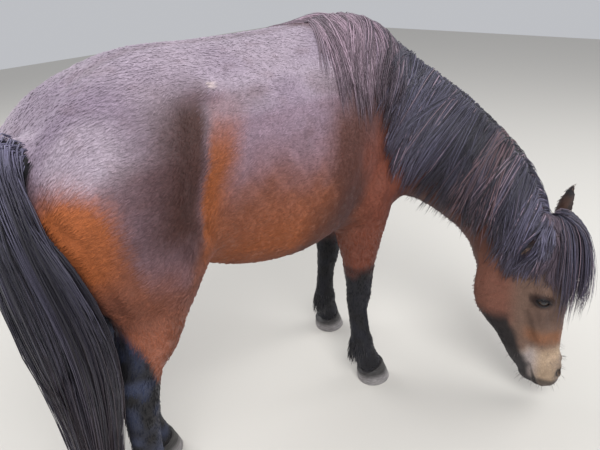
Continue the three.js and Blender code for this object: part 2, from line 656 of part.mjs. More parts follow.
// Forelock: an upper and a lower row of locks from the poll that arch forward and hang before the face.
// For each stop on the way down: place out of the face, how much further the upper row stands out,
// place aside, how far the row spreads, and height.
const FORELOCK = {
  count: 7, width: 38, thickness: 4, clear: 9, lowerOut: 0.5, tipLow: -22, tipHigh: 50, seed: 5,
};
const FORELOCK_FALL = [
  { x: 14, out: 40, y: -4, spread: 24, z: 472 },
  { x: 24, out: 54, y: -9, spread: 37, z: 415 },
  { x: 26, out: 60, y: -15, spread: 46, z: 350 },
  { x: 24, out: 60, y: -18, spread: 51, z: 285 },
  { x: 20, out: 56, y: -20, spread: 51, z: 212 },
];
function forelockLocks() {
  const draw = drawsFrom(FORELOCK.seed);
  return Array.from({ length: FORELOCK.count }, (_, i) => {
    const s = mix(-1, 1, (i + 0.5) / FORELOCK.count);
    const upper = i % 2;
    const stand = mix(FORELOCK.lowerOut, 1, upper) - 0.25 * s * s;
    const rooted = [
      onHead(mix(4, -22, upper), 16 * s, 446),
      onHead(mix(14, -14, upper), 18 * s, mix(476, 490, upper)),
    ];
    const hung = FORELOCK_FALL.map(({ x, out, y, spread: wide, z }, k) => {
      const tip = k === FORELOCK_FALL.length - 1 ? draw(FORELOCK.tipLow, FORELOCK.tipHigh) : 0;
      return liftedClear(onHead(x + out * stand, y + wide * s, z + tip), FORELOCK.clear);
    });
    const face = faceOut.clone().addScaledVector(headLeft, 0.5 * s);
    const backs = [...rooted.map(() => faceOut.clone().negate()), ...hung.map(() => face)];
    const width = FORELOCK.width * draw(0.9, 1.1);
    return lockOf([...rooted, ...hung], backs, LOCK.gathered, width, FORELOCK.thickness);
  });
}

// Tail: an inner and an outer ring of locks from round the dock, which fill out over the right buttock
// and draw together near the ground. At each height: the middle, and the half widths across and along.
const TAIL_FALL = [
  { z: 742, x: -606, y: -38, across: 78, along: 38 },
  { z: 640, x: -592, y: -62, across: 92, along: 50 },
  { z: 500, x: -580, y: -78, across: 88, along: 56 },
  { z: 350, x: -576, y: -82, across: 76, along: 52 },
  { z: 200, x: -576, y: -80, across: 56, along: 42 },
  { z: 22, x: -576, y: -78, across: 30, along: 26 },
];
const TAIL = {
  thickness: 9, rootDepth: 10, rootRise: 5, rootDrop: 22, clear: 16, lift: 50, shortestStep: 30, seed: 3,
  rings: [
    { count: 14, width: 46, fill: 1, from: 0.5, to: 0.6 },
    { count: 5, width: 64, fill: 0.5, from: 0.7, to: 0.84 },
  ],
};
function tailLock(draw, { count, width, fill, from, to }, i) {
  const angle = (i + draw(0.4, 0.6)) / count * 2 * Math.PI;
  const t = draw(from, to);
  const centre = dockCurve.getPoint(t);
  const along = dockCurve.getTangent(t);
  const back = FORWARD.clone().negate().projectOnPlane(along).normalize();
  const left = v(0, 0, 0).crossVectors(back, along);
  const way = back.multiplyScalar(Math.cos(angle)).addScaledVector(left, Math.sin(angle));
  const dockRadius = share(DOCK_RADII, t);
  const places = [
    centre.clone().addScaledVector(way, dockRadius - TAIL.rootDepth),
    centre.clone().addScaledVector(way, dockRadius + TAIL.rootRise).addScaledVector(along, TAIL.rootDrop),
  ];
  const away = v(-Math.cos(angle), Math.sin(angle) * left.y, 0);
  const last = TAIL_FALL[TAIL_FALL.length - 1];
  const tip = draw(0, TAIL.lift);
  for (const row of TAIL_FALL) {
    if (row.z < places[places.length - 1].z - TAIL.shortestStep) {
      const p = v(row.x + away.x * row.along * fill, row.y + away.y * row.across * fill, row.z);
      p.z += row === last ? tip : 0;
      places.push(liftedClear(p, TAIL.clear));
    }
  }
  const backs = places.map((_p, k) => (k < 2 ? along.clone().negate() : away));
  return lockOf(places, backs, LOCK.gathered, width * draw(0.9, 1.1), TAIL.thickness);
}
function tailLocks() {
  const draw = drawsFrom(TAIL.seed);
  return TAIL.rings.flatMap((ring) => Array.from({ length: ring.count }, (_, i) => tailLock(draw, ring, i)));
}

const eyes = { right: eyeSolids(-1), left: eyeSolids(1) };
let whole = wasm.Manifold.union([trunkLoft, neckLoft, headLoft, ...legLofts, dockStub]);
for (const eye of Object.values(eyes)) {
  whole = whole.add(eye.lids).subtract(eye.socket);
}
whole = whole.subtract(nostril(-1)).subtract(nostril(1)).subtract(mouthLine());

// The whole animal is parted with thin cuts
const TOES = { foreRight: -25, foreLeft: -4, hindRight: 0, hindLeft: 8 };
const LEGS = [
  { name: 'leg_fore_right', leg: FORELEGS.right, heading: TOES.foreRight, level: 478 },
  { name: 'leg_fore_left', leg: FORELEGS.left, heading: TOES.foreLeft, level: 478 },
  { name: 'leg_hind_right', leg: HINDLEGS.right, heading: TOES.hindRight, level: 532 },
  { name: 'leg_hind_left', leg: HINDLEGS.left, heading: TOES.hindLeft, level: 532 },
];
const cuts = [
  parting(NECK_BASE.centre, NECK_BASE.normal, 640, 640),
  parting(THROAT.centre, THROAT.normal, 480, 480),
];
for (const { leg, heading, level } of LEGS) {
  const top = leg.gaskin ?? leg.elbow;
  cuts.push(parting(v(top.x, leg.side * 135, level), UP, 260, 240));
  const hairLine = coronet(leg, heading, 0);
  cuts.push(parting(hairLine.centre, hairLine.normal, 150, 110));
}
const pieces = whole.subtract(wasm.Manifold.union(cuts)).decompose();

// The largest closed piece of a solid
function largest(solid) {
  return solid.decompose().reduce((best, piece) => (piece.volume() > best.volume() ? piece : best));
}

// The piece that holds a point
function pieceAt(point) {
  const probe = placed(new THREE.IcosahedronGeometry(2, 0), new THREE.Matrix4().setPosition(point));
  return pieces.find((piece) => piece.intersect(probe).volume() > 1);
}

// A solid cut clear of its neighbours by the gap
function clearOf(solid, neighbours) {
  let clear = solid;
  for (const neighbour of neighbours) {
    clear = clear.subtract(neighbour);
    for (const axis of [0, 1, 2]) {
      for (const side of BOTH_SIDES) {
        const shift = [0, 0, 0];
        shift[axis] = side * GAP;
        clear = clear.subtract(neighbour.translate(shift));
      }
    }
  }
  return clear;
}

const pony = new THREE.Group();
function addNode(name, solid, colour, roughness) {
  const mesh = largest(solid).getMesh();
  const geometry = new THREE.BufferGeometry();
  geometry.setAttribute('position', new THREE.BufferAttribute(mesh.vertProperties, 3));
  geometry.setIndex(new THREE.BufferAttribute(mesh.triVerts, 1));
  const finish = new THREE.MeshStandardMaterial({ color: colour, roughness, metalness: 0 });
  const node = new THREE.Mesh(geometry, finish);
  node.name = name;
  pony.add(node);
}

const COLOURS = { coat: 0x6b4a3e, black: 0x1d1c22, hair: 0x23222b, horn: 0x8c8894, eye: 0x140e0b };
const crestCut = crestStrip(2 * GAP);
const torso = largest(pieceAt(v(0, 0, 750)).subtract(crestCut));
const neckNode = largest(pieceAt(neckFrame(0.6).centre).subtract(crestCut));
let headFlesh = pieceAt(onHead(-40, 0, 200)).subtract(crestCut);
const ears = {};
for (const [side, ear] of Object.entries(EARS)) {
  const level = ear.base.dot(ear.up) + EAR.bare;
  const solid = earSolid(ear);
  headFlesh = headFlesh.add(solid.trimByPlane(ear.up.clone().negate().toArray(), -level));
  ears[side] = solid.trimByPlane(ear.up.toArray(), level + GAP);
}
const head = largest(headFlesh.subtract(pollCap(2 * GAP)));
addNode('torso', torso, COLOURS.coat, 0.9);
addNode('neck', neckNode, COLOURS.coat, 0.9);
addNode('head', head, COLOURS.coat, 0.9);
for (const side of Object.keys(ears)) {
  ears[side] = largest(clearOf(ears[side], [head, neckNode]));
  addNode('ear_' + side, ears[side], COLOURS.coat, 0.9);
  addNode('eye_' + side, eyes[side].eye, COLOURS.eye, 0.2);
}
const legs = LEGS.map(({ leg }) => pieceAt(below(leg.fetlock, 0, 0, 80)));
LEGS.forEach(({ name, leg, heading }, i) => {
  addNode(name, legs[i], COLOURS.black, 0.9);
  addNode(name.replace('leg', 'hoof'), loft(hoofSections(leg, heading)), COLOURS.horn, 0.6);
});

const carriers = [torso, neckNode, head, ears.right, ears.left];
function hairOf(base, locks, neighbours) {
  return largest(clearOf(wasm.Manifold.union([base, ...locks]), neighbours));
}
const mane = largest(whole.intersect(crestStrip(0)).add(clearOf(maneMass(), carriers)));
const forelock = hairOf(headFlesh.intersect(pollCap(0)), forelockLocks(), [...carriers.slice(1), mane]);
const tail = hairOf(dockBone, tailLocks(), [torso, ...legs]);
addNode('mane', mane, COLOURS.hair, 0.85);
addNode('forelock', forelock, COLOURS.hair, 0.85);
addNode('tail', tail, COLOURS.hair, 0.85);

// The model stands on its hooves, with its origin on the ground under the middle of its outline
const outline = new THREE.Box3().setFromObject(pony);
const middle = outline.getCenter(v(0, 0, 0));
pony.position.set(-middle.x, -middle.y, -outline.min.z);

export default pony;
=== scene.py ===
# A Shetland pony at life size, head down to graze.
# Metres, +X forward along the trunk, +Y to the pony's left, +Z up, hooves on Z = 0.
import math

import bmesh
import bpy
import numpy as np
from mathutils import Matrix, Vector
from mathutils.bvhtree import BVHTree


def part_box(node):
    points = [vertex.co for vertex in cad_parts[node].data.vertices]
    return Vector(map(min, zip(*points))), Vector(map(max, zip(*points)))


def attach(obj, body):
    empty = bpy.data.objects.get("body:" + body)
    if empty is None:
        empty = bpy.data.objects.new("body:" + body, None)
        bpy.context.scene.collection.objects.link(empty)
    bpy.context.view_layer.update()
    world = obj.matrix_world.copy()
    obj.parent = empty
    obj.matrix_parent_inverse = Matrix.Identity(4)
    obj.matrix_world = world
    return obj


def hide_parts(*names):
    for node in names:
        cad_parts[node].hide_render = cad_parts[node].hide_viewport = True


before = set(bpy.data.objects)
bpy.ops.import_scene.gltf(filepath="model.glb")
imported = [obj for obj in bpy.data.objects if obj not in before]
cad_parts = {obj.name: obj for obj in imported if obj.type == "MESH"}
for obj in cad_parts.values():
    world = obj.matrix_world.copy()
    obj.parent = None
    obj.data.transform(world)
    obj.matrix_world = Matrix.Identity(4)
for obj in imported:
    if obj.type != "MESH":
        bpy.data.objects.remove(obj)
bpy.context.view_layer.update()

scene = bpy.context.scene

# Landmarks that place all that is made here. The head is a straight frame from the lips to the poll, and
# the face looks out of it. The trunk's own zero lies on the ground between the feet, and the left eye of
# the solids says where that is.
def level_way(angle):
    """A level way, at an angle from +X towards +Y."""
    return Vector((math.cos(angle), math.sin(angle), 0))


def stacked(vectors):
    """Vectors as the rows of an array."""
    return np.array([list(vector) for vector in vectors])


lips = Vector((0.425, -0.540, 0.048))
poll = Vector((0.465, -0.503, 0.512))
head_up = (poll - lips).normalized()
face_out = level_way(math.radians(-70))
face_out = (face_out - face_out.dot(head_up) * head_up).normalized()
head_left = head_up.cross(face_out)
head_axes = stacked((face_out, head_left, head_up))
eye_seat = (-0.018, 0.071, 0.280)
eye_low, eye_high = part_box("eye_left")
eye_in_body = lips + face_out * eye_seat[0] + head_left * eye_seat[1] + head_up * eye_seat[2]
body_zero = (eye_low + eye_high) / 2 - eye_in_body


def on_body(x, y, z):
    """A place in the trunk's own frame, given in millimetres."""
    return body_zero + Vector((x, y, z)) / 1000


def on_head(x, y, z):
    """A place in the head's frame, given in millimetres: out of the face, to its left, up."""
    return body_zero + lips + (face_out * x + head_left * y + head_up * z) / 1000


def from_body(places):
    """Places of the row frame in millimetres of the trunk's own frame."""
    return (places - np.array(body_zero)) * 1000


def from_head(places):
    """Places of the row frame in millimetres of the head's frame."""
    return (places - np.array(body_zero + lips)) @ head_axes.T * 1000


# The viewpoint of the picture: from behind and above the right hip.
yaw, pitch, roll = (math.radians(angle) for angle in (44.6, 25.6, -3.0))
look = Vector((math.sin(yaw) * math.cos(pitch), math.cos(yaw) * math.cos(pitch), -math.sin(pitch)))
level = Vector((math.cos(yaw), -math.sin(yaw), 0))
rise = level.cross(look)
side = level * math.cos(roll) + rise * math.sin(roll)
top = rise * math.cos(roll) - level * math.sin(roll)
bpy.ops.object.camera_add()
camera = bpy.context.object
camera.name = "picture_camera"
camera.matrix_world = Matrix((side, top, -look)).transposed().to_4x4()
camera.location = on_body(-832, -930, 1113)
camera.data.sensor_width = 36
camera.data.lens = 33.72
scene.camera = camera

# The floor: a plain pale studio sheet.
bpy.ops.mesh.primitive_plane_add(size=14, location=(0, 0, 0))
floor = bpy.context.object
floor.name = "studio_floor"
paper = bpy.data.materials.new("pale_studio_paper")
paper.use_nodes = True
paper_look = paper.node_tree.nodes["Principled BSDF"]
paper_look.inputs["Base Color"].default_value = (0.62, 0.60, 0.56, 1)
paper_look.inputs["Roughness"].default_value = 0.9
floor.data.materials.append(paper)

# The light: one large soft panel overhead and a weaker one from each side, with a pale surround.
for spot, energy, size, aim in (
    ((-1.6, -2.4, 3.4), 140, 2.2, (0, 0, 0.6)),
    ((2.4, -1.6, 2.6), 50, 2.4, (0.1, -0.2, 0.5)),
    ((-0.6, 2.8, 3.2), 70, 2.6, (0, 0, 0.6)),
):
    bpy.ops.object.light_add(type="AREA", location=spot)
    panel = bpy.context.object
    panel.data.energy = energy
    panel.data.size = size
    panel.rotation_euler = (Vector(aim) - Vector(spot)).to_track_quat("-Z", "Y").to_euler()
surround = bpy.data.worlds.new("studio_surround")
surround.use_nodes = True
surround.node_tree.nodes["Background"].inputs["Color"].default_value = (0.93, 0.95, 1.0, 1)
surround.node_tree.nodes["Background"].inputs["Strength"].default_value = 0.55
scene.world = surround
scene.view_settings.view_transform = "Standard"

# The skin: one hide over trunk, neck, head, ears and legs, with no seam. The fleshy solids are
# copied, the ridge under the mane, the poll and the dock are filled, and all of it is fused.
coat_depth = 0.0025
flesh_nodes = ["torso", "neck", "head", "ear_right", "ear_left",
               "leg_fore_right", "leg_fore_left", "leg_hind_right", "leg_hind_left"]
flesh_copies = []
for name in flesh_nodes:
    copy = bpy.data.objects.new("flesh_" + name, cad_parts[name].data.copy())
    scene.collection.objects.link(copy)
    if name.startswith("ear"):
        leaf = bmesh.new()
        leaf.from_mesh(copy.data)
        bmesh.ops.convex_hull(leaf, input=leaf.verts)
        bmesh.ops.delete(leaf, geom=[v for v in leaf.verts if not v.link_faces], context="VERTS")
        leaf.to_mesh(copy.data)
        leaf.free()
    flesh_copies.append(copy)
neck_line = [on_body(*p) for p in (
    (150, 0, 800), (280, -12, 778), (370, -90, 722), (420, -215, 640), (438, -345, 545))]
neck_line.append(on_head(-86, 0, 392))
dock_line = [on_body(*p) for p in (
    (-440, 0, 800), (-512, -6, 842), (-558, -18, 850), (-594, -30, 818), (-604, -42, 742), (-597, -56, 640),
    (-586, -66, 560))]


def smooth_line(points, places):
    """Places on a smooth line through a few points, at shares of its spans from 0 to 1."""
    p = stacked(points)
    p = np.vstack([2 * p[0] - p[1], p, 2 * p[-1] - p[-2]])
    place = np.clip(np.asarray(places, float), 0, 1 - 1e-9) * (len(p) - 3)
    i = place.astype(int)
    t = (place - i)[:, None]
    a, b, c, d = p[i], p[i + 1], p[i + 2], p[i + 3]
    squared, cubed = 2 * a - 5 * b + 4 * c - d, 3 * b - a - 3 * c + d
    return 0.5 * (2 * b + (c - a) * t + squared * t ** 2 + cubed * t ** 3)


def roll_of_flesh(name, points, radii, count=40):
    """A closed round roll along a line, its radius in millimetres eased between the named ones."""
    line = smooth_line(points, np.linspace(0, 1, count))
    curve = bpy.data.curves.new(name, "CURVE")
    curve.dimensions = "3D"
    curve.bevel_depth = 1
    curve.bevel_resolution = 5
    curve.use_fill_caps = True
    spline = curve.splines.new("POLY")
    spline.points.add(count - 1)
    radius = np.interp(np.linspace(0, 1, count), np.linspace(0, 1, len(radii)), radii)
    for point, place, r in zip(spline.points, line, radius):
        point.co = (*place, 1)
        point.radius = r / 1000
    made = bpy.data.objects.new(name, curve)
    scene.collection.objects.link(made)
    bpy.ops.object.select_all(action="DESELECT")
    made.select_set(True)
    bpy.context.view_layer.objects.active = made
    bpy.ops.object.convert(target="MESH")
    return made


def eye_middle(s):
    """The middle of an eyeball. A side s is -1 for the right one and 1 for the left."""
    return on_head(-18, 71 * s, 280)


flesh_trees = [BVHTree.FromPolygons([v.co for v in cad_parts[n].data.vertices],
                                    [p.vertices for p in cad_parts[n].data.polygons])
               for n in ("torso", "neck", "head")]
ridge = []
for place in smooth_line(neck_line, np.linspace(0, 1, 60))[2:58]:
    hits = [tree.ray_cast(Vector(place), Vector((0, 0, 1)), 0.4)[0] for tree in flesh_trees]
    highest = max((hit.z for hit in hits if hit is not None), default=None)
    if highest is not None:
        ridge.append(Vector((place[0], place[1], highest - 0.004)))
flesh_copies.append(roll_of_flesh("flesh_crest", ridge, (16, 20, 20, 18), 60))
flesh_copies.append(roll_of_flesh("flesh_poll", (on_head(-40, 0, 452), on_head(30, 0, 446)), (18, 20), 6))
flesh_copies.append(roll_of_flesh("flesh_dock", dock_line, (34, 32, 29, 27, 24, 19, 10)))
for s in (-1, 1):
    bpy.ops.mesh.primitive_uv_sphere_add(segments=24, ring_count=16, radius=0.0215, location=eye_middle(s))
    flesh_copies.append(bpy.context.object)

bpy.ops.object.select_all(action="DESELECT")
for copy in flesh_copies:
    copy.select_set(True)
bpy.context.view_layer.objects.active = flesh_copies[0]
bpy.ops.object.join()
skin = bpy.context.object
skin.name = "skin"
bpy.ops.object.transform_apply(location=True, rotation=True, scale=True)
fuse = skin.modifiers.new("fuse", "REMESH")
fuse.mode = "VOXEL"
fuse.voxel_size = 0.0073
bpy.ops.object.modifier_apply(modifier="fuse")


def threes(items, field, kind=np.float32):
    """A field that holds three numbers for each corner, face or triangle of a mesh."""
    flat = np.empty(len(items) * 3, kind)
    items.foreach_get(field, flat)
    return flat.reshape(-1, 3)


def places_of(mesh):
    """The corners of a mesh as an array."""
    return threes(mesh.vertices, "co").astype(float)


def facing_of(mesh):
    """The way that the surface faces at each corner of a mesh."""
    return threes(mesh.vertex_normals, "vector").astype(float)


def set_places(mesh, places):
    mesh.vertices.foreach_set("co", places.astype(np.float32).ravel())
    mesh.update()


def eased(low, high, value):
    """A soft step from 0 at low to 1 at high."""
    t = np.clip((value - low) / (high - low), 0, 1)
    return t * t * (3 - 2 * t)


def within(value, *edges):
    """Soft steps of one value multiplied together, each given by two edges."""
    return math.prod(eased(low, high, value) for low, high in zip(edges[::2], edges[1::2]))


def smoothed(factor, rounds, group=""):
    """Eases the surface of the skin by Blender's Smooth, all over or in one vertex group."""
    ease = skin.modifiers.new("ease", "SMOOTH")
    ease.factor = factor
    ease.iterations = rounds
    ease.vertex_group = group
    bpy.ops.object.modifier_apply(modifier="ease")


def grouped(name, weights):
    """A vertex group of the skin with a weight for each corner, in tenths."""
    group = skin.vertex_groups.new(name=name)
    steps = np.round(weights * 10).astype(int)
    for step in range(1, 11):
        chosen = np.flatnonzero(steps == step)
        if len(chosen):
            group.add(chosen.tolist(), step / 10, "REPLACE")
    return name


def head_way(x, y, z):
    return (face_out * x + head_left * y + head_up * z).normalized()


# for each ear: its seat, the way up to its tip, the way out of its cup
ears = []
for seat, up, cup_way in (
    (on_head(2, -42, 436), head_way(-0.68, -0.68, -0.24), head_way(0.25, -0.55, -0.8)),
    (on_head(0, 40, 436), head_way(0.26, 0.3, 0.91), head_way(0.85, 0.5, -0.2)),
):
    aside = up.cross(cup_way).normalized()
    ears.append((seat, aside, aside.cross(up), up))


def in_ear(places, ear):
    """Places in an ear's own frame in millimetres: aside, out of its cup, up to its tip."""
    return (places - np.array(ear[0])) @ stacked(ear[1:]).T * 1000


def far_from_ears(places):
    """1 away from the ears, 0 on them."""
    out = np.ones(len(places))
    for ear in ears:
        aside, ahead, up = in_ear(places, ear).T
        outside = np.maximum.reduce([10 - up, np.abs(aside) - 34, np.abs(ahead) - 26])
        out = np.minimum(out, eased(0, 14, outside))
    return out


# Facets of the trunk and neck are eased most, and the thin ears and narrow legs least.
places = places_of(skin.data)
on_skin = from_body(places)
leg_level = eased(560, 420, on_skin[:, 2]) * (on_skin[:, 0] < 345)
face_near = eased(60, -40, np.linalg.norm(from_head(places) - (-40, 0, 230), axis=1) - 210)
smoothed(0.5, 4, grouped("all_but_ears", far_from_ears(places)))
smoothed(0.5, 22, grouped("trunk", np.clip(1 - leg_level - face_near, 0, 1) * far_from_ears(places)))


def finer(spots):
    """Splits the faces of the skin in two each way near some spots, each a place and a reach."""
    centres = threes(skin.data.polygons, "center")
    chosen = np.zeros(len(centres), bool)
    for place, reach in spots:
        chosen |= np.linalg.norm(centres - np.array(place), axis=1) < reach / 1000
    bpy.ops.object.mode_set(mode="EDIT")
    bpy.ops.mesh.select_all(action="DESELECT")
    bpy.ops.object.mode_set(mode="OBJECT")
    skin.data.polygons.foreach_set("select", chosen)
    bpy.ops.object.mode_set(mode="EDIT")
    bpy.ops.mesh.select_mode(type="FACE")
    bpy.ops.mesh.subdivide(number_cuts=1, smoothness=0)
    bpy.ops.object.mode_set(mode="OBJECT")


finer([(on_head(-30, 0, z), 150) for z in (110, 290)] + [(seat + up * 0.05, 75) for seat, _, _, up in ears])
places = places_of(skin.data)
face_near = eased(60, -20, np.linalg.norm(from_head(places) - (-40, 0, 200), axis=1) - 230)
smoothed(0.5, 3, grouped("face", face_near * far_from_ears(places)))
finer([(on_head(0, 0, 14), 44)] + [(place, 34) for s in (-1, 1) for place in (
    eye_middle(s), on_head(30, 29 * s, 62), on_head(-25, 34 * s, 60))])


def bump_at(places, centre, radii):
    """A soft swelling that is 1 at its centre and fades out at its radii, both in millimetres."""
    return eased(1, 0, np.sqrt((((places - centre) / radii) ** 2).sum(1)))


def along_line(places, points):
    """The distance of places from a line of points, and how far along it the nearest place is, 0 to 1."""
    points = np.array(points, float)
    best = np.full(len(places), np.inf)
    share = np.zeros(len(places))
    spans = len(points) - 1
    for i in range(spans):
        a, b = points[i], points[i + 1]
        t = np.clip(((places - a) @ (b - a)) / ((b - a) @ (b - a)), 0, 1)
        distance = np.linalg.norm(places - a - t[:, None] * (b - a), axis=1)
        nearer = distance < best
        best = np.where(nearer, distance, best)
        share = np.where(nearer, (i + t) / spans, share)
    return best, share


def fold(places, line, width, rise):
    """The height of a soft ridge or groove along a line, all in millimetres."""
    return rise * eased(width, 0, along_line(places, line)[0])


# Muscles, hollows, tendons and folds of the body, each a line or a spot in the trunk's frame:
# points, half width, height in millimetres, and the sides that have it.
both, middle = (1, -1), (1,)
body_folds = [
    ([(-300, -172, 905), (-322, -195, 868), (-345, -212, 810), (-350, -210, 755)], 42, -7, both),
    ([(-262, -150, 918), (-258, -150, 917)], 30, 5, both),
    ([(-392, -226, 700), (-372, -190, 640), (-330, -140, 590)], 22, 5, both),
    ([(-340, -205, 700), (-318, -170, 650)], 20, -6, both),
    ([(-556, -120, 790), (-548, -178, 735), (-530, -188, 660), (-505, -176, 590)], 20, -4, both),
    ([(-575, -60, 800), (-560, -110, 700), (-520, -130, 600)], 24, 5, both),
    ([(98, -200, 720), (60, -205, 640), (84, -186, 580)], 36, -3, both),
    ([(300, -178, 735), (262, -194, 650), (236, -196, 600)], 40, 6, both),
    ([(180, -196, 610), (150, -186, 570)], 36, 5, both),
    ([(210, -190, 545), (170, -180, 530), (132, -150, 520)], 12, -4, both),
    ([(-230, -200, 760), (-160, -212, 650)], 16, -2.5, both),
    ([(-180, -206, 780), (-110, -214, 660)], 16, -2.5, both),
    ([(-128, -210, 790), (-60, -220, 665)], 16, -2.5, both),
    ([(-76, -212, 800), (-12, -222, 670)], 16, -2.5, both),
    ([(-300, 0, 985), (150, 0, 980)], 26, -4, middle),
    ([(-430, 0, 944), (-340, 0, 984)], 30, -5, middle),
    ([(345, -240, 560), (352, -330, 500)], 14, -4, middle),
    ([(356, -255, 590), (362, -345, 530)], 12, -3, middle),
    ([(350, -300, 470), (344, -372, 410)], 14, -5, middle),
]
leg_folds = [
    ([(208, -106, 300), (206, -106, 285)], 24, 4), ([(165, -112, 290), (168, -118, 300)], 16, 5),
    ([(183, -84, 262), (176, -100, 150)], 8, -3.5), ([(183, -134, 262), (178, -150, 150)], 8, -3.5),
    ([(150, -130, 112), (148, -132, 104)], 16, 6),
]
# offset from the hock, half length, half width, height
hock_folds = [((-38, 0, 42), 8, 22, 6), ((-30, 0, -110), 40, 9, 2.5), ((-2, 24, -90), 40, 8, -4),
              ((-2, -24, -90), 40, 8, -4), ((24, 0, 4), 40, 22, 3)]
to_left_foreleg = (117, 218, 0)
hocks = ((-486, -130, 390), (-435, 106, 390))


def carve_body(places, facing):
    p = from_body(places)
    height = np.zeros(len(p))
    for points, width, rise, sides in body_folds:
        for mirror in sides:
            height += fold(p, np.array(points) * (1, mirror, 1), width, rise)
    for shift in ((0, 0, 0), to_left_foreleg):
        for points, width, rise in leg_folds:
            height += fold(p, np.array(points) + shift, width, rise)
    for hock in hocks:
        for offset, half_length, width, rise in hock_folds:
            spot = np.array(hock) + offset
            height += fold(p, [spot - (0, 0, half_length), spot + (0, 0, half_length)], width, rise)
    return places + facing * (height[:, None] / 1000 - coat_depth)


set_places(skin.data, carve_body(places_of(skin.data), facing_of(skin.data)))

# The head's own forms: lids round each eye, the brow, the crest of the cheek, nostrils, lips and chin.
# All sizes are in millimetres.
ball_radius, lid_thickness = 18.0, 3.2
slit_half, slit_up, slit_down = 16.5, 6.2, 7.2
mouth_lines = {s: [(-34, 44 * s, 82), (-24, 37 * s, 50), (-14, 30 * s, 20), (2, 12 * s, 10), (4, 0, 9)]
               for s in (-1, 1)}


def eye_axes(s):
    """The eye's own axes: forward along the slit, up across it, and outward."""
    out = head_way(0.3, s, 0.02)
    forward = head_up.cross(out).normalized() * -s
    up = out.cross(forward).normalized() * -s
    tilt = math.radians(14)
    return stacked((forward * math.cos(tilt) - up * math.sin(tilt),
                    up * math.cos(tilt) + forward * math.sin(tilt), out))


def in_eye(places, s):
    """How far places lie from the middle of an eye along its axes, in millimetres."""
    return ((places - np.array(eye_middle(s))) @ eye_axes(s).T * 1000).T


def from_nostril(places, s):
    """How far places lie from the inside of a nostril, in millimetres."""
    return np.linalg.norm((places - np.array(on_head(42, 29 * s, 62))) * 1000, axis=1)


def with_nostril(places, s):
    """Sinks a bent slot, whose rim stands a little proud."""
    out = head_way(0.72, 0.66 * s, -0.12)
    long_way = head_way(-0.28, -0.12 * s, 0.9)
    long_way = (long_way - long_way.dot(out) * out).normalized()
    across = out.cross(long_way)
    q = (places - np.array(on_head(44, 30 * s, 62))) * 1000
    u, w, d = q @ np.array(long_way), q @ np.array(across), q @ np.array(out)
    ring = np.sqrt((u / 13.5) ** 2 + ((w - s * 0.018 * u ** 2) / 6.2) ** 2)
    sink = -13 * np.sqrt(np.clip(1 - ring ** 2, 0, 1)) + 2.2 * within(ring, 0.9, 1.15, 1.9, 1.2)
    return places + np.array(out) * ((sink * eased(30, 18, np.abs(d)))[:, None] / 1000)


def with_lids(places, s):
    """Lays two soft folds over the ball, parted by a slit, with creases above and below."""
    u, v, w = in_eye(places, s)
    radial = np.hypot(u, v)
    bow = 1 - np.clip(np.abs(u) / slit_half, 0, 1) ** 2
    gap = np.where(v > 0, v - slit_up * bow, -v - slit_down * bow)
    gap = np.where(np.abs(u) > slit_half, np.hypot(np.abs(u) - slit_half, v), gap)
    lid_height = np.sqrt(np.clip((ball_radius + lid_thickness) ** 2 - radial ** 2, 0, None))
    ball_height = np.sqrt(np.clip((ball_radius - 1.6) ** 2 - radial ** 2, 0, None))
    folded = lid_height + 0.9 * eased(3.4, 1.4, np.abs(gap - 1.4)) * (gap > 0)
    target = ball_height + (folded - ball_height) * eased(-0.3, 0.9, gap)
    share = eased(21, 15, np.hypot(u, v * 1.25)) * (w > 0) * (radial < 20)
    moved = w + (target - w) * share
    crease = np.zeros(len(u))
    for depth, width, place, side in (
            (-1.8, (1.8, 0), 8.5, v > 2), (-1.3, (1.6, 0), 13.5, v > 4), (-1.2, (1.6, 0), 7.5, v < -2),
            (1.2, (4, 1), 11, v > 2)):
        crease += depth * eased(*width, np.abs(gap - place)) * side
    moved = moved + crease * (w > 0) * eased(34, 24, radial)
    return np.array(eye_middle(s)) + np.column_stack([u, v, moved]) @ eye_axes(s) / 1000


def with_cup(places, ear):
    """Presses an ear's leaf in to a cup with thin rims."""
    q = in_ear(places, ear)
    aside, ahead, up = q.T
    full = np.interp(up, (-30, 0, 22, 45, 67, 87, 102, 112), (0.86, 0.84, 0.95, 1, 0.9, 0.66, 0.36, 0.07))
    across = np.clip(np.abs(aside) / (24 * full), 0, 1)
    cup = 7 * full - 19 * full * np.sqrt(1 - across ** 2)
    hollow = (across < 1) & (ahead > -4) & (up > 6) & (up < 112) & (ahead < 24)
    q[:, 1] = np.where(hollow, ahead + (np.minimum(ahead, cup) - ahead) * within(up, 6, 26, 112, 96), ahead)
    pressed = np.array(ear[0]) + q @ stacked(ear[1:]) / 1000
    return np.where(hollow[:, None], pressed, places)


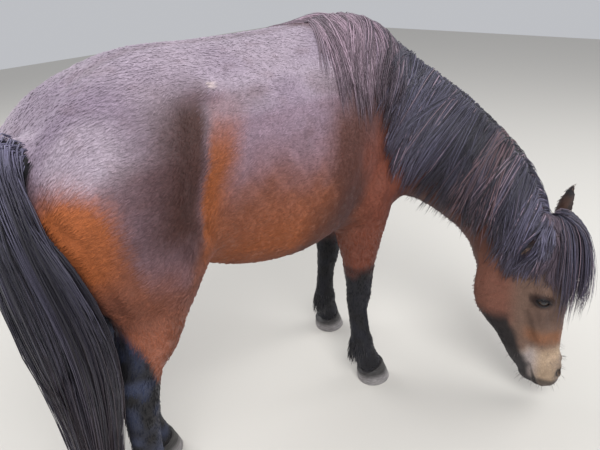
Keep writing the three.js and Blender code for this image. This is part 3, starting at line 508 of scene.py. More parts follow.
def shape_head(places, facing):
    p = from_head(places)
    height = np.zeros(len(p))
    for s in (-1, 1):
        for centre, radii, rise in (
            ((-26, 60 * s, 318), (26, 20, 20), 5), ((2, 46 * s, 330), (16, 18, 16), -3),
            ((40, 24 * s, 82), (20, 14, 26), 2.5), ((-36, 36 * s, 66), (16, 16, 20), -2.5),
            ((-60, 60 * s, 330), (18, 20, 24), -4),
        ):
            height += rise * bump_at(p, centre, radii)
        for line, width, rise in (
            ([(-40, 72 * s, 246), (-26, 58 * s, 196), (-16, 46 * s, 160)], 13, 3.2),
            ([(-58, 62 * s, 236), (-44, 50 * s, 180), (-36, 42 * s, 130)], 14, -2.8),
            ([(-4, 66 * s, 258), (6, 52 * s, 216)], 6, -1.6),
            ([(-26, 76 * s, 262), (-12, 76 * s, 256)], 5, -1.2),
            ([(20, 34 * s, 92), (6, 40 * s, 70), (-4, 40 * s, 50)], 7, -1.8),
            ([(26, 30 * s, 230), (36, 24 * s, 130)], 12, 1.6),
        ):
            height += fold(p, line, width, rise)
    for line in mouth_lines.values():
        distance, share = along_line(p, line)
        height += -4.5 * eased(3.4, 0.4, distance) * eased(-0.05, 0.2, share)
        height += 2.2 * eased(9, 4, np.abs(distance - 6.5) * 2) * eased(0.1, 0.5, share)
    height += 2.0 * bump_at(p, (-26, 0, 26), (18, 20, 14))
    placed = places + facing * (height[:, None] / 1000)
    for s in (-1, 1):
        placed = with_lids(with_nostril(placed, s), s)
    for ear in ears:
        placed = with_cup(placed, ear)
    return placed


set_places(skin.data, shape_head(places_of(skin.data), facing_of(skin.data)))
smoothed(0.35, 1)
bpy.ops.object.shade_smooth()


# The colours of the coat: a bay roan pony. Mauve-grey hairs cover the back and the barrel, partly the coat's
# own roan and partly a painted sky reflection, with a paler painted sky highlight where the surface faces up.
# Bright bay shows on the buttocks, flanks and belly, and the legs, the jaw and the tips of the ears are
# black. Shade is painted in the flank hollow, behind the elbow, between belly and foreleg, low on the neck
# and under the body. One reckoning by place on the body, and by the way the surface faces, colours the skin
# and every tuft alike.
def tone(red, green, blue):
    """A colour as it is mixed in the studio, from the brightness that the eye sees, 0 to 255."""
    seen = np.array((red, green, blue), float) / 255
    return np.where(seen <= 0.04045, seen / 12.92, ((seen + 0.055) / 1.055) ** 2.4)


lattice_size = 24
drift_lattice = np.random.default_rng(41).random((lattice_size,) * 3)


def mottling(places, size, seed=0):
    """Soft uneven patches of a size in millimetres, 0 to 1."""
    q = places / size + seed * 7.31
    i = np.floor(q).astype(int)
    t = q - i
    t = t * t * (3 - 2 * t)
    out = np.zeros(len(q))
    for corner in np.ndindex(2, 2, 2):
        weight = np.where(corner, t, 1 - t)
        cell = (i + corner) % lattice_size
        out += weight[:, 0] * weight[:, 1] * weight[:, 2] * drift_lattice[tuple(cell.T)]
    return out


def blend(under, over, share):
    """One colour over another, by a share for each place."""
    return under * (1 - share[..., None]) + over * share[..., None]


bay, bright_bay = tone(124, 74, 56), tone(166, 92, 50)
deep_brown, red_brown = tone(62, 42, 40), tone(122, 66, 50)
# The roan is partly the coat's own mauve-grey and partly a painted sky reflection; the pale roan is a painted
# pale sky highlight.
roan_and_sky_sheen, pale_sky_sheen = tone(136, 120, 138), tone(168, 154, 166)
# The flank brown is painted shade in the flank hollow; the elbow brown is painted shade behind the elbow and
# between belly and foreleg, and also darkens the top of the shoulder.
flank_shade_brown, shade_and_shoulder_brown = tone(66, 40, 36), tone(84, 49, 40)
# The leg sheen is a painted blue-grey sky reflection.
leg_black, leg_sheen = tone(24, 23, 26), tone(60, 67, 92)
face_brown, band_orange = tone(110, 86, 74), tone(140, 92, 62)
mealy, lavender, bare_dark = tone(176, 152, 128), tone(164, 154, 154), tone(24, 22, 24)
crest_roots, dock_roots = from_body(stacked(ridge[::4])), from_body(stacked(dock_line[2:]))


def coat_colour(places, facing):
    """The coat's colour at places of the row frame, where its surface faces a given way."""
    p, h = from_body(places), from_head(places)
    x, y, z = p.T
    ahead, aside, along = h.T
    upward = facing[:, 2]
    paired = np.column_stack([x, np.abs(y), z])
    patch, fleck, grain = (mottling(p, size, seed) - 0.5 for seed, size in enumerate((90, 22, 7)))
    wander = 60 * patch + 26 * fleck
    colour = np.tile(bay, (len(p), 1))

    def lay(share, shade):
        colour[:] = blend(colour, shade, share)

    # Trunk: roan from above, partly a painted sky reflection, with a painted pale sky highlight on the faces
    # that look up; bright behind, before the thigh and under the belly; painted shade in the flank hollow,
    # behind the elbow and on the faces that look down
    lay(eased(720, 590, z + wander * 0.5) * within(x, -330, -250, 60, -30) * 0.8, bright_bay * 0.95)
    on_thigh = within(x, -350, -400, -500, -450)
    roan_line = 745 + 35 * eased(-470, -560, x) + 20 * eased(-40, 60, x) - 95 * on_thigh
    cover = eased(-70, 75, z + wander - roan_line)
    # The mauve-grey roan, more where the surface faces up: partly the coat's own colour, partly a painted sky
    # reflection.
    lay(cover * (0.7 + 0.3 * eased(0.1, 0.75, upward)), roan_and_sky_sheen)
    # A painted pale sky highlight on the rump.
    lay(np.clip(bump_at(paired, (-505, 150, 868), (110, 90, 90)) * 1.4, 0, 0.75), pale_sky_sheen)
    croup = eased(-360, -450, x) * eased(860, 930, z)
    # A painted pale sky highlight on the faces that look up, faint on the croup.
    lay(cover * eased(0.3, 0.95, upward + patch * 0.8) * 0.8 * (1 - 0.85 * croup), pale_sky_sheen)
    lay(cover * eased(0.56, 0.75, patch + 0.5) * eased(0.9, 0.4, upward) * 0.4, deep_brown * 1.8)
    behind = bump_at(paired, (-542, 158, 738), (95, 120, 135))
    lay(np.clip(behind * 1.9, 0, 1) * eased(45, -45, z - 832 + wander * 0.5), bright_bay * 0.94)
    lay(eased(-440, -500, x) * within(z, 690, 610, 440, 560) * 0.6, bay * 1.15)
    lay(within(x, -425, -450, -520, -490) * within(z, 600, 540, 330, 400) * 0.6, bay * 1.55)
    # Painted shade in the flank hollow, a band before the thigh.
    past_edge = np.interp(z, (640, 700, 757, 850, 920), (-352, -350, -338, -296, -262)) - x + wander * 0.2
    lay(within(past_edge, -16, 26, 210, 50) * within(z, 620, 730, 965, 880), flank_shade_brown)
    lay(eased(10, -8, past_edge) * eased(-100, -24, past_edge + wander * 0.4) * eased(560, 680, z)
        * eased(930, 810, z + wander), bright_bay * 0.66)
    # Painted shade behind the elbow.
    lay(eased(-60, 20, x + wander * 0.5) * eased(150, 90, x) * within(z, 540, 620, 905, 780) * 0.95,
        shade_and_shoulder_brown)
    # Painted shadow between the belly and the foreleg.
    lay(eased(-110, -40, x + wander * 0.4) * eased(120, 60, x) * eased(705, 610, z) * 0.7, shade_and_shoulder_brown * 0.8)
    lay(eased(60, 150, x + wander * 0.6) * eased(830, 710, z + wander * 0.5) * 0.9, red_brown * 0.9)
    lay(within(x, 80, 140, 330, 250) * eased(700, 790, z + wander * 0.4) * 0.8, shade_and_shoulder_brown)
    # Painted shade on the faces that look down, low on the body.
    lay(eased(-0.25, -0.9, upward) * eased(620, 480, z) * 0.45, deep_brown)
    lay(eased(0.55, 1, fleck + 0.5) * cover * 0.25, deep_brown * 1.8)
    rub = np.linalg.norm((p - (-255, -146, 924)) / (16, 20, 7), axis=1)
    lay(eased(1, 0.4, rub + fleck) * 0.75, tone(196, 178, 176))
    lay(eased(30, 8, np.abs(y + 5)) * eased(930, 960, z) * eased(200, 100, x) * 0.3, deep_brown * 1.5)

    # Neck and head
    # Painted shade low on the neck, above the breast.
    lay(eased(250, 330, x + wander * 0.3) * eased(700, 560, z - (x - 330) * 0.2) * 0.5, deep_brown * 1.3)
    on_face = eased(430, 340, along) * eased(260, 150, np.abs(aside)) * eased(-240, -150, ahead) * (x > 330)
    lay(on_face, face_brown * 1.08)
    lay(on_face * eased(-60, -110, ahead) * eased(160, 220, along) * 0.6, red_brown)
    lay(on_face * within(along, 300, 260, 190, 215) * eased(-52, -20, ahead) * 0.25, deep_brown)
    from_band = np.abs(along - 166 + fleck * 16 + ahead * 0.15)
    lay(on_face * eased(30, 4, from_band) * eased(-70, -30, ahead) * 0.75, band_orange)
    muzzle = on_face * eased(158, 108, along + fleck * 26 + 20 * eased(-20, -60, ahead))
    lay(muzzle, mealy)
    lay(muzzle * eased(0, -34, ahead) * 0.8, lavender)
    lay(muzzle * eased(14, 44, ahead + fleck * 10) * eased(118, 84, along) * 0.55, tone(70, 62, 64))
    jaw = on_face * eased(-74, -96, ahead + (along - 200) * 0.36 + fleck * 14) * eased(250, 200, along)
    lay(jaw * 0.95, leg_black)
    lay(on_face * eased(46, 30, along + fleck * 6) * 0.8, tone(52, 48, 50))
    for line in mouth_lines.values():
        lay(on_face * eased(7, 2, along_line(h, line)[0]) * 0.85, bare_dark)
    for s in (-1, 1):
        u, v, w = in_eye(places, s)
        from_eye = np.hypot(u * 0.62, v * 1.05)
        near_eye = (np.abs(w - 18) < 24) & (x > 330)
        lay(near_eye * eased(26, 13, from_eye) * 0.85, deep_brown * 0.5)
        lay(near_eye * eased(12.5, 9.5, from_eye), bare_dark)
        lay((x > 330) * eased(20, 9, from_nostril(places, s)) * 0.9, bare_dark * 1.4)
    for ear in ears:
        across, cupward, up = in_ear(places, ear).T
        on_ear = (up > -6) & (up < 124) & (np.abs(across) < 36) & (np.abs(cupward) < 27)
        lay(on_ear * 0.85, face_brown * 0.42)
        lay(on_ear * eased(60, 92, up), leg_black)
        lay(on_ear * eased(16, 24, np.abs(across)) * 0.7, leg_black)
        lay(on_ear * (cupward > -9) * eased(18, 10, np.abs(across)) * eased(8, 24, up) * 0.8, bare_dark * 1.6)

    # Legs: black from above the knee and from the hock, the hind ones with a painted blue-grey sky sheen in
    # patches
    fore = (x > 60) & (x < 385) & (y > -240) & (np.linalg.norm(h - (-40, 0, 200), axis=1) > 330)
    dark_fore = fore * eased(400, 325, z + fleck * 40 + patch * 30)
    hind = x < -280
    dark_line_right = np.interp(x, (-520, -498, -478, -458, -430), (565, 548, 500, 420, 390))
    dark_line_left = 468 + 1.4 * (np.interp(z, (390, 530, 655), (-435, -392, -375)) - x)
    over_line = z - np.where(y < 0, dark_line_right, dark_line_left) + fleck * 30 + patch * 20
    black = np.clip(dark_fore + hind * eased(24, -24, over_line) * (z < 640), 0, 1)
    lay(black, leg_black)
    # A painted blue-grey sky reflection, in patches, mostly on the hind legs.
    lay(black * (0.12 + 0.88 * hind) * eased(0.2, 0.8, fleck + 0.5 + 0.3 * patch) * 0.65, leg_sheen)
    lay(eased(60, 44, along_line(p, dock_roots)[0]) * (x < -540), leg_black)
    from_crest = along_line(p, crest_roots)[0]
    lay(eased(34, 20, from_crest), leg_black * 1.2)
    lay(eased(100, 70, from_crest) * eased(330, 400, x) * eased(360, 420, along), leg_black * 1.2)
    return np.clip(colour * (1 + 0.22 * grain[:, None] + 0.12 * fleck[:, None]), 0.004, 0.9)


def painted(mesh, colours):
    """Keeps a colour for each corner of a mesh, for its material to read."""
    layer = mesh.color_attributes.new("coat_tone", "FLOAT_COLOR", "POINT")
    flat = np.ones((len(mesh.vertices), 4), np.float32)
    flat[:, :3] = colours
    layer.data.foreach_set("color", flat.ravel())


def new_finish(name):
    """A new material, its node tree and its main shader."""
    finish = bpy.data.materials.new(name)
    finish.use_nodes = True
    return finish, finish.node_tree, finish.node_tree.nodes["Principled BSDF"]


def fed(tree, node, sockets):
    """Sets a shader node's sockets, each to a plain value or from another node's socket."""
    for socket, value in sockets.items():
        if isinstance(value, bpy.types.NodeSocket):
            tree.links.new(value, node.inputs[socket])
        else:
            node.inputs[socket].default_value = value
    return node


def added(tree, kind, sockets, operation=None):
    """A new shader node of a kind, its sockets set as fed does it."""
    node = tree.nodes.new("ShaderNode" + kind)
    if operation:
        node.operation = operation
    return fed(tree, node, sockets)


def hair_finish(name, roughness, sheen, streak, depth, scales, specular=0.3):
    """A material of hair: its kept colour, broken by fine streaks along the hair, and their relief."""
    finish, tree, body = new_finish(name)
    kept = tree.nodes.new("ShaderNodeAttribute")
    kept.attribute_name = "coat_tone"
    seat = tree.nodes.new("ShaderNodeTexCoord")
    stretch = added(tree, "Mapping", {"Vector": seat.outputs["Object"], "Scale": scales})
    hairs = added(tree, "TexNoise", {"Vector": stretch.outputs["Vector"], "Scale": 1, "Detail": 4})
    hairs = hairs.outputs["Fac"]
    spread = added(tree, "MapRange", {"Value": hairs, "From Min": 0.25, "From Max": 0.75,
                                      "To Min": 1 - streak, "To Max": 1 + streak})
    shade = added(tree, "VectorMath", {0: kept.outputs["Color"], "Scale": spread.outputs["Result"]}, "SCALE")
    gloss = added(tree, "MapRange", {"Value": hairs, "To Min": roughness - 0.1, "To Max": roughness + 0.14})
    relief = added(tree, "Bump", {"Height": hairs, "Strength": 0.6, "Distance": depth})
    fed(tree, body, {
        "Base Color": shade.outputs["Vector"], "Roughness": gloss.outputs["Result"],
        "Normal": relief.outputs["Normal"], "Specular IOR Level": specular,
        "Sheen Weight": sheen, "Sheen Roughness": 0.45, "Sheen Tint": (0.85, 0.84, 1, 1)})
    return finish


skin.data.materials.clear()
skin.data.materials.append(hair_finish(
    "bay_roan_skin_fur", roughness=0.6, sheen=0.06, streak=0.28, depth=0.0016, scales=(170, 420, 300)))
skin_places, skin_facing = places_of(skin.data), facing_of(skin.data)
painted(skin.data, coat_colour(skin_places, skin_facing) * 0.9)
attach(skin, "root")
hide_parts(*flesh_nodes)

# The short coat: small flat tufts of hair that lie along the body, backwards on the trunk, down on the
# legs and the face, and lift a little off the skin. They are shortest on the face and the feet. Each limb
# has a girth and a middle line, in millimetres.
limbs = {
    "trunk": (205, [(-600, 0, 760), (-300, 0, 760), (0, 0, 730), (250, 0, 730)]),
    "neck": (120, from_body(smooth_line(neck_line, (0.42, 0.6, 0.8, 1)))),
    "head": (78, from_body(stacked(on_head(x, 0, z) for x, z in ((-70, 400), (-40, 200), (-10, 20))))),
    "fore_right": (52, [(340, -105, 640), (180, -122, 560), (193, -106, 292), (176, -128, 114),
                        (204, -148, 0)]),
    "fore_left": (52, [(350, 105, 640), (215, 122, 560), (310, 110, 295), (292, 114, 114), (312, 116, 0)]),
    "hind_right": (60, [(-418, -110, 700), (-434, -131, 530), (-486, -130, 390), (-490, -126, 116),
                        (-462, -128, 0)]),
    "hind_left": (60, [(-400, 110, 700), (-392, 125, 530), (-435, 106, 390), (-388, 84, 116), (-360, 78, 0)]),
}
trunk_limb, neck_limb, head_limb, first_leg = range(4)
hind_right_limb, hind_left_limb = 5, 6


def unit(ways):
    return ways / np.maximum(np.linalg.norm(ways, axis=-1, keepdims=True), 1e-9)


def limb_of(places):
    """For each place: its limb, how far along that it is, the angle round it, and the way its hair runs."""
    p = from_body(places)
    best = np.full(len(p), np.inf)
    which = np.zeros(len(p), int)
    share, angle, total = np.zeros((3, len(p)))
    pull = np.zeros((len(p), 3))
    for k, (name, (girth, points)) in enumerate(limbs.items()):
        line = np.array(points, float)
        distance, t = along_line(p, line)
        reach = distance / girth
        spans = len(line) - 1
        i = np.minimum((t * spans).astype(int), spans - 1)
        run = unit(line[i + 1] - line[i])
        if name == "trunk":
            run = -run + (0, 0, -0.35)
        if name == "neck":
            run = -run * 0.6 + (0, 0, -0.8)
        weight = np.exp(-(reach * 3) ** 2) + 1e-12
        pull += run * weight[:, None]
        total += weight
        nearer = reach < best
        best = np.where(nearer, reach, best)
        which = np.where(nearer, k, which)
        share = np.where(nearer, t, share)
    for k, (_, points) in enumerate(limbs.values()):
        on = which == k
        line = np.array(points, float)
        axis = unit(line[-1] - line[0])
        even = np.linspace(0, 1, len(line))
        seat = np.column_stack([np.interp(share[on], even, column) for column in line.T])
        first = unit(np.cross(axis, (0.3, 1.0, 0.1)))
        second = np.cross(axis, first)
        q = p[on] - seat
        angle[on] = np.arctan2(q @ second, q @ first) / (2 * math.pi) + 0.5
    return which, share, angle, pull / total[:, None]


def bare_here(places):
    """1 where no tuft grows: the eyes, the inside of the nostrils, the lips and the soles."""
    bare = from_body(places)[:, 2] < 36
    for s in (-1, 1):
        u, v, w = in_eye(places, s)
        bare |= (np.hypot(u * 0.7, v) < 13.5) & (w > 0) & (w < 40)
        bare |= (from_nostril(places, s) < 15) | (along_line(from_head(places), mouth_lines[s])[0] < 5)
    return bare


skin.data.calc_loop_triangles()
corners = threes(skin.data.loop_triangles, "vertices", np.int32)
tri_a, tri_b, tri_c = (skin_places[corners[:, j]] for j in range(3))
tri_area = np.linalg.norm(np.cross(tri_b - tri_a, tri_c - tri_a), axis=1) / 2
tri_middle = (tri_a + tri_b + tri_c) / 3
tri_body = from_body(tri_middle)
tri_limb = limb_of(tri_middle)[0]
tri_weight = tri_area * ~bare_here(tri_middle) * (along_line(tri_body, crest_roots)[0] > 20)
for chosen, density in (
        (tri_limb == neck_limb, 0.45), (tri_limb == head_limb, 3.2), (tri_limb >= first_leg, 1.5)):
    tri_weight = tri_weight * np.where(chosen, density, 1)
patch_size, margin, spread_over = 0.003, 0.02, 0.95
own_shading, skin_shading = 0.12, 0.88


def unwrapped(places):
    """Where places lie on the skin laid flat, 0 to 1 both ways: along each limb and round it."""
    which, share, angle, _ = limb_of(places)
    used = sorted(set(which.tolist()))
    lane = np.array([used.index(k) for k in which]) / len(used)
    across = lane + angle / len(used) * 0.96
    return np.column_stack([margin + spread_over * across, margin + spread_over * share])


def ribbon_mesh(name, stations, colours, seats, finish, facing=None, replaced=()):
    """Many closed three-sided hairs in one mesh. Stations is hairs x stops x 3 sides x XYZ, the last stop a
    point; colours is hairs x stops x RGB; seats is the root of each hair on the laid-out skin; facing is
    the way that the skin faces at each root, to shade the hairs by."""
    hairs, stops = stations.shape[:2]
    rings = stops - 1
    per = rings * 3 + 1
    places = np.empty((hairs, per, 3))
    places[:, :-1] = stations[:, :-1].reshape(hairs, rings * 3, 3)
    places[:, -1] = stations[:, -1].mean(1)
    shade = np.empty((hairs, per, 3))
    shade[:, :-1] = np.repeat(colours[:, :-1], 3, axis=1)
    shade[:, -1] = colours[:, -1]
    faces, sizes, face_uv = [], [], []
    for k in range(rings):
        for j in range(3):
            a, b = k * 3 + j, k * 3 + (j + 1) % 3
            low, high = k / stops, (k + 1) / stops
            if k < rings - 1:
                faces += [a, b, b + 3, a + 3]
                face_uv += [(j / 3, low), ((j + 1) / 3, low), ((j + 1) / 3, high), (j / 3, high)]
                sizes.append(4)
            else:
                faces += [a, b, per - 1]
                face_uv += [(j / 3, high), ((j + 1) / 3, high), ((j + 0.5) / 3, 1)]
                sizes.append(3)
    faces += [2, 1, 0]
    sizes.append(3)
    face_uv += [(0, 0), (0.9, 0.0), (0.45, 0.2)]
    all_faces = (np.array(faces)[None] + (np.arange(hairs) * per)[:, None]).ravel()
    all_sizes = np.tile(sizes, hairs)
    mesh = bpy.data.meshes.new(name)
    mesh.vertices.add(hairs * per)
    mesh.vertices.foreach_set("co", places.astype(np.float32).ravel())
    mesh.loops.add(len(all_faces))
    mesh.loops.foreach_set("vertex_index", all_faces.astype(np.int32))
    mesh.polygons.add(len(all_sizes))
    mesh.polygons.foreach_set("loop_start", (np.cumsum(all_sizes) - all_sizes).astype(np.int32))
    mesh.polygons.foreach_set("loop_total", all_sizes.astype(np.int32))
    mesh.update(calc_edges=True)
    mesh.validate()
    laid = mesh.uv_layers.new(name="OFBake")
    uv = seats[:, None] + (np.array(face_uv)[None] - 0.5) * patch_size
    laid.data.foreach_set("uv", uv.astype(np.float32).ravel())
    painted(mesh, shade.reshape(-1, 3))
    mesh.polygons.foreach_set("use_smooth", np.ones(len(all_sizes), bool))
    if facing is not None:
        mixed = unit(facing_of(mesh).reshape(hairs, per, 3) * own_shading + facing[:, None] * skin_shading)
        mesh.normals_split_custom_set_from_vertices(mixed.reshape(-1, 3).tolist())
    mesh.materials.append(finish)
    made = bpy.data.objects.new(name, mesh)
    scene.collection.objects.link(made)
    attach(made, "root")
    if replaced:
        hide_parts(*replaced)


tuft_finish = hair_finish(
    "bay_roan_tufts", roughness=0.56, sheen=0.08, streak=0.22, depth=0.0006, scales=(260, 520, 420))
leg_finish = hair_finish(
    "dark_leg_tufts", roughness=0.66, sheen=0.02, streak=0.22, depth=0.0006, scales=(420, 420, 160),
    specular=0.16)
hair_draw = np.random.default_rng(17)


def tufts_on(name, count, chosen):
    """One piece of the coat: a count of tufts, spread over the chosen triangles by their weight."""
    weight = tri_weight * chosen
    picks = np.searchsorted(np.cumsum(weight), hair_draw.random(count) * weight.sum())
    picks = np.minimum(picks, len(weight) - 1)
    r1, r2 = np.sqrt(hair_draw.random(count)), hair_draw.random(count)
    shares = (1 - r1, r1 * (1 - r2), r1 * r2)
    ids = corners[picks]
    root = sum(skin_places[ids[:, j]] * share[:, None] for j, share in enumerate(shares))
    out = unit(sum(skin_facing[ids[:, j]] * share[:, None] for j, share in enumerate(shares)))
    which, _, _, pull = limb_of(root)
    body = from_body(root)
    z = body[:, 2]
    lie = unit(pull - out * (pull * out).sum(1)[:, None])
    swirl = (mottling(body, 60, 3) - 0.5) * 0.9 + hair_draw.normal(0, 0.12, count)
    lie = unit(lie + np.cross(out, lie) * swirl[:, None])
    aside = np.cross(out, lie)
    on_face = which == head_limb
    length = np.where(which >= first_leg, np.interp(z, (60, 300, 560), (6, 8, 11)), 11.5)
    length = np.where(on_face, np.where(from_head(root)[:, 2] < 120, 3.6, 5.5), length)
    length = length * np.where(z < 600, 1.05, 1) * (0.75 + 0.5 * hair_draw.random(count)) / 1000
    width = length * np.where(on_face, 0.18, 0.15) * (0.8 + 0.4 * hair_draw.random(count))
    lift = 0.05 + 0.10 * hair_draw.random(count) ** 2 + 0.04 * (z < 620) * ~on_face
    base = coat_colour(root, out) * (1 + hair_draw.normal(0, 0.09, count))[:, None]
    colours = np.clip(base[:, None] * np.array((0.9, 1.0, 1.08))[None, :, None], 0.004, 0.95)
    stations = np.empty((count, 3, 3, 3))
    for k, (t, bowed, sunk, wide) in enumerate(((0, 0, -0.08, 0.75), (0.52, 0.62, 0, 1.0), (1, 0, 0, 0.0))):
        height = length * (lift * t + 0.55 * lift * bowed + sunk)
        centre = root + lie * (length * t)[:, None] + out * height[:, None]
        for j, (sidestep, raised) in enumerate(((0.5, 0), (0, 0.55), (-0.5, 0))):
            shift = aside * (width * wide * sidestep)[:, None] + out * (width * wide * raised)[:, None]
            stations[:, k, j] = centre + shift
    on_legs = name.endswith("legs")
    ribbon_mesh(name, stations, colours, unwrapped(root), leg_finish if on_legs else tuft_finish,
                out)


on_trunk = tri_limb == trunk_limb
forward, high = tri_body[:, 0] > -300, tri_body[:, 2] > 560
right, left = tri_body[:, 1] < -60, tri_body[:, 1] > 60
for name, count, chosen in (
    ("coat_flank_right", 15500, on_trunk & right & forward),
    ("coat_thigh_right", 12500, (on_trunk | (tri_limb == hind_right_limb)) & right & ~forward & high),
    ("coat_back", 9500, on_trunk & ~right & ~left),
    ("coat_flank_left", 9500, on_trunk & left & forward),
    ("coat_thigh_left", 6500, (on_trunk | (tri_limb == hind_left_limb)) & left & ~forward & high),
    ("coat_neck", 4500, tri_limb == neck_limb),
    ("coat_head", 10000, tri_limb == head_limb),
    ("coat_forelegs", 6000, (tri_limb >= first_leg) & (tri_limb < hind_right_limb)),
    ("coat_hindlegs", 6000, (tri_limb >= hind_right_limb) & ~(high & (right | left))),
):
    tufts_on(name, count, chosen)

# Mane: long straight hair that grows from the whole crest, falls to the right in overlapping locks and
# reaches past the lower edge of the neck. Each lock is a set of fine strands that draw together towards
# its tip. The hair of the withers is faded, and a short row falls to the left.
skin_tree = BVHTree.FromPolygons([Vector(v) for v in skin_places.tolist()], corners.tolist())


def above_skin(place):
    """The nearest place on the skin, the way out of it there, and the height above it."""
    near, out, _, _ = skin_tree.find_nearest(place)
    return near, out, (place - near).dot(out)


def off_skin(place, least):
    """A place, moved out to at least a height above the skin."""
    _, out, height = above_skin(place)
    return place + out * max(least - height, 0)


def fallen(root, way, length, heights, drift):
    """A line of hair that leaves its root one way, bends under its weight and lies on the body, at a
    height above the skin that goes from the first of two to the second."""
    stops, weight, steepest, highest = 11, 0.26, -0.3, 0.09
    places = [root.copy()]
    way = way.normalized()
    for k in range(1, stops):
        way = (way * (1 - weight) + Vector((0, 0, -1)) * weight + drift).normalized()
        place = places[-1] + way * (length / (stops - 1))
        _, out, height = above_skin(place)
        short = heights[0] + (heights[1] - heights[0]) * k / (stops - 1) - height
        if short > 0 or (out.z > steepest and height < highest):
            place = place + out * short
        way = (place - places[-1]).normalized()
        places.append(place)
    return [list(place) for place in places]


def laid_clear(core, clear):
    """Lifts strands out of the skin where they would run under it, all but their roots, and evens them."""
    for strand in core:
        for n in range(2, len(strand)):
            _, out, height = above_skin(Vector(strand[n]))
            if height < clear:
                strand[n] += np.array(out) * (clear - height)
    for _ in range(2):
        core[:, 2:-1] = (core[:, 1:-2] + 2 * core[:, 2:-1] + core[:, 3:]) / 4
    return core


def strands_of(guides, draw, per_lock, half_width, half_depth, gather, stray, hair_width, length_spread,
               clear):
    """Fine strands round each guide line. Guides is locks x stops x XYZ. Returns the strands' middle lines,
    the way out of the skin along them, their widths, lock numbers and shares of the guide's length."""
    locks, stops = guides.shape[:2]
    along = unit(np.gradient(guides, axis=1))
    near = np.array([stacked(above_skin(Vector(place))[1] for place in guide) for guide in guides])
    outs = unit(near - along * (near * along).sum(2)[..., None])
    asides = np.cross(outs, along)
    lock = np.repeat(np.arange(locks), per_lock)
    count = len(lock)
    a = draw.uniform(-1, 1, count)
    b = draw.uniform(-1, 1, count) * np.sqrt(1 - a * a)
    t = np.linspace(0, 1, stops)[None]
    share = t * (1 - length_spread * draw.random(count)[:, None])
    place = share * (stops - 1)
    i = np.minimum(place.astype(int), stops - 2)
    f = (place - i)[..., None]
    row = lock[:, None]
    centre, out, aside = (line[row, i] * (1 - f) + line[row, i + 1] * f for line in (guides, outs, asides))
    out, aside = unit(out), unit(aside)
    closing = 1 - gather * share ** 1.4
    wave_a = draw.uniform(0, 6.28, (count, 1))
    wave_b = draw.uniform(0, 6.28, (count, 1))
    bend = draw.normal(0, 1, (count, 1))
    loose = stray * share ** 1.5
    sideways = a[:, None] * half_width * closing + loose * (bend + 0.35 * np.sin(share * 7 + wave_a))
    sideways = sideways + 0.10 * stray * np.sin(share * 19 + wave_b)
    outwards = b[:, None] * half_depth * closing + 0.5 * loose * np.sin(share * 6 + wave_b)
    core = centre + aside * sideways[..., None] + out * outwards[..., None]
    core[..., 2] = np.maximum(core[..., 2], 0.006)
    taper = np.interp(t, (0, 0.15, 0.6, 0.9, 1), (0.8, 1, 0.9, 0.55, 0.2))
    wide = hair_width * draw.uniform(0.7, 1.3, (count, 1)) * taper
    return laid_clear(core, clear), out, wide, lock, share


def strand_stations(core, out, wide):
    """Three-sided strands round their middle lines."""
    along = unit(np.gradient(core, axis=1))
    aside = unit(np.cross(out, along))
    half = wide[..., None] * 0.5
    up = np.cross(along, aside)
    return np.stack([core + aside * half, core + up * half * 0.9, core - aside * half], axis=2)


def hair_piece(name, core, out, wide, shades, replaced=()):
    """One piece of long hair, from its strands' middle lines, ways out of the skin, widths and colours."""
    ribbon_mesh(name, strand_stations(core, out, wide), np.clip(shades, 0.004, 0.9), unwrapped(core[:, 0]),
                long_hair, replaced=replaced)


long_hair = hair_finish(
    "long_black_hair", roughness=0.46, sheen=0.1, streak=0.3, depth=0.0004, scales=(700, 700, 60),
    specular=0.45)
# The blue of the hair is a painted blue-grey sky sheen on black hair.
hair_black, hair_blue_sheen = tone(36, 33, 44), tone(76, 73, 91)
hair_mauve, hair_rust = tone(136, 116, 128), tone(104, 68, 60)
crest_steps = np.linspace(0, 1, 101)
crest_run = unit(np.gradient(smooth_line(neck_line, crest_steps), axis=0))
crest_start = 0.005


def crest_at(t):
    """A place on the crest, the way along it, up from it and across it to the right."""
    place = Vector(smooth_line(neck_line, [t])[0])
    along = Vector([np.interp(t, crest_steps, crest_run[:, j]) for j in range(3)]).normalized()
    up = (Vector((0, 0, 1)) - along * along.z).normalized()
    hit = skin_tree.ray_cast(place + up * 0.30, -up, 0.4)[0]
    return (hit if hit is not None else place + up * 0.16), along, up, along.cross(up)


mane_draw = np.random.default_rng(23)
mane_cores = []
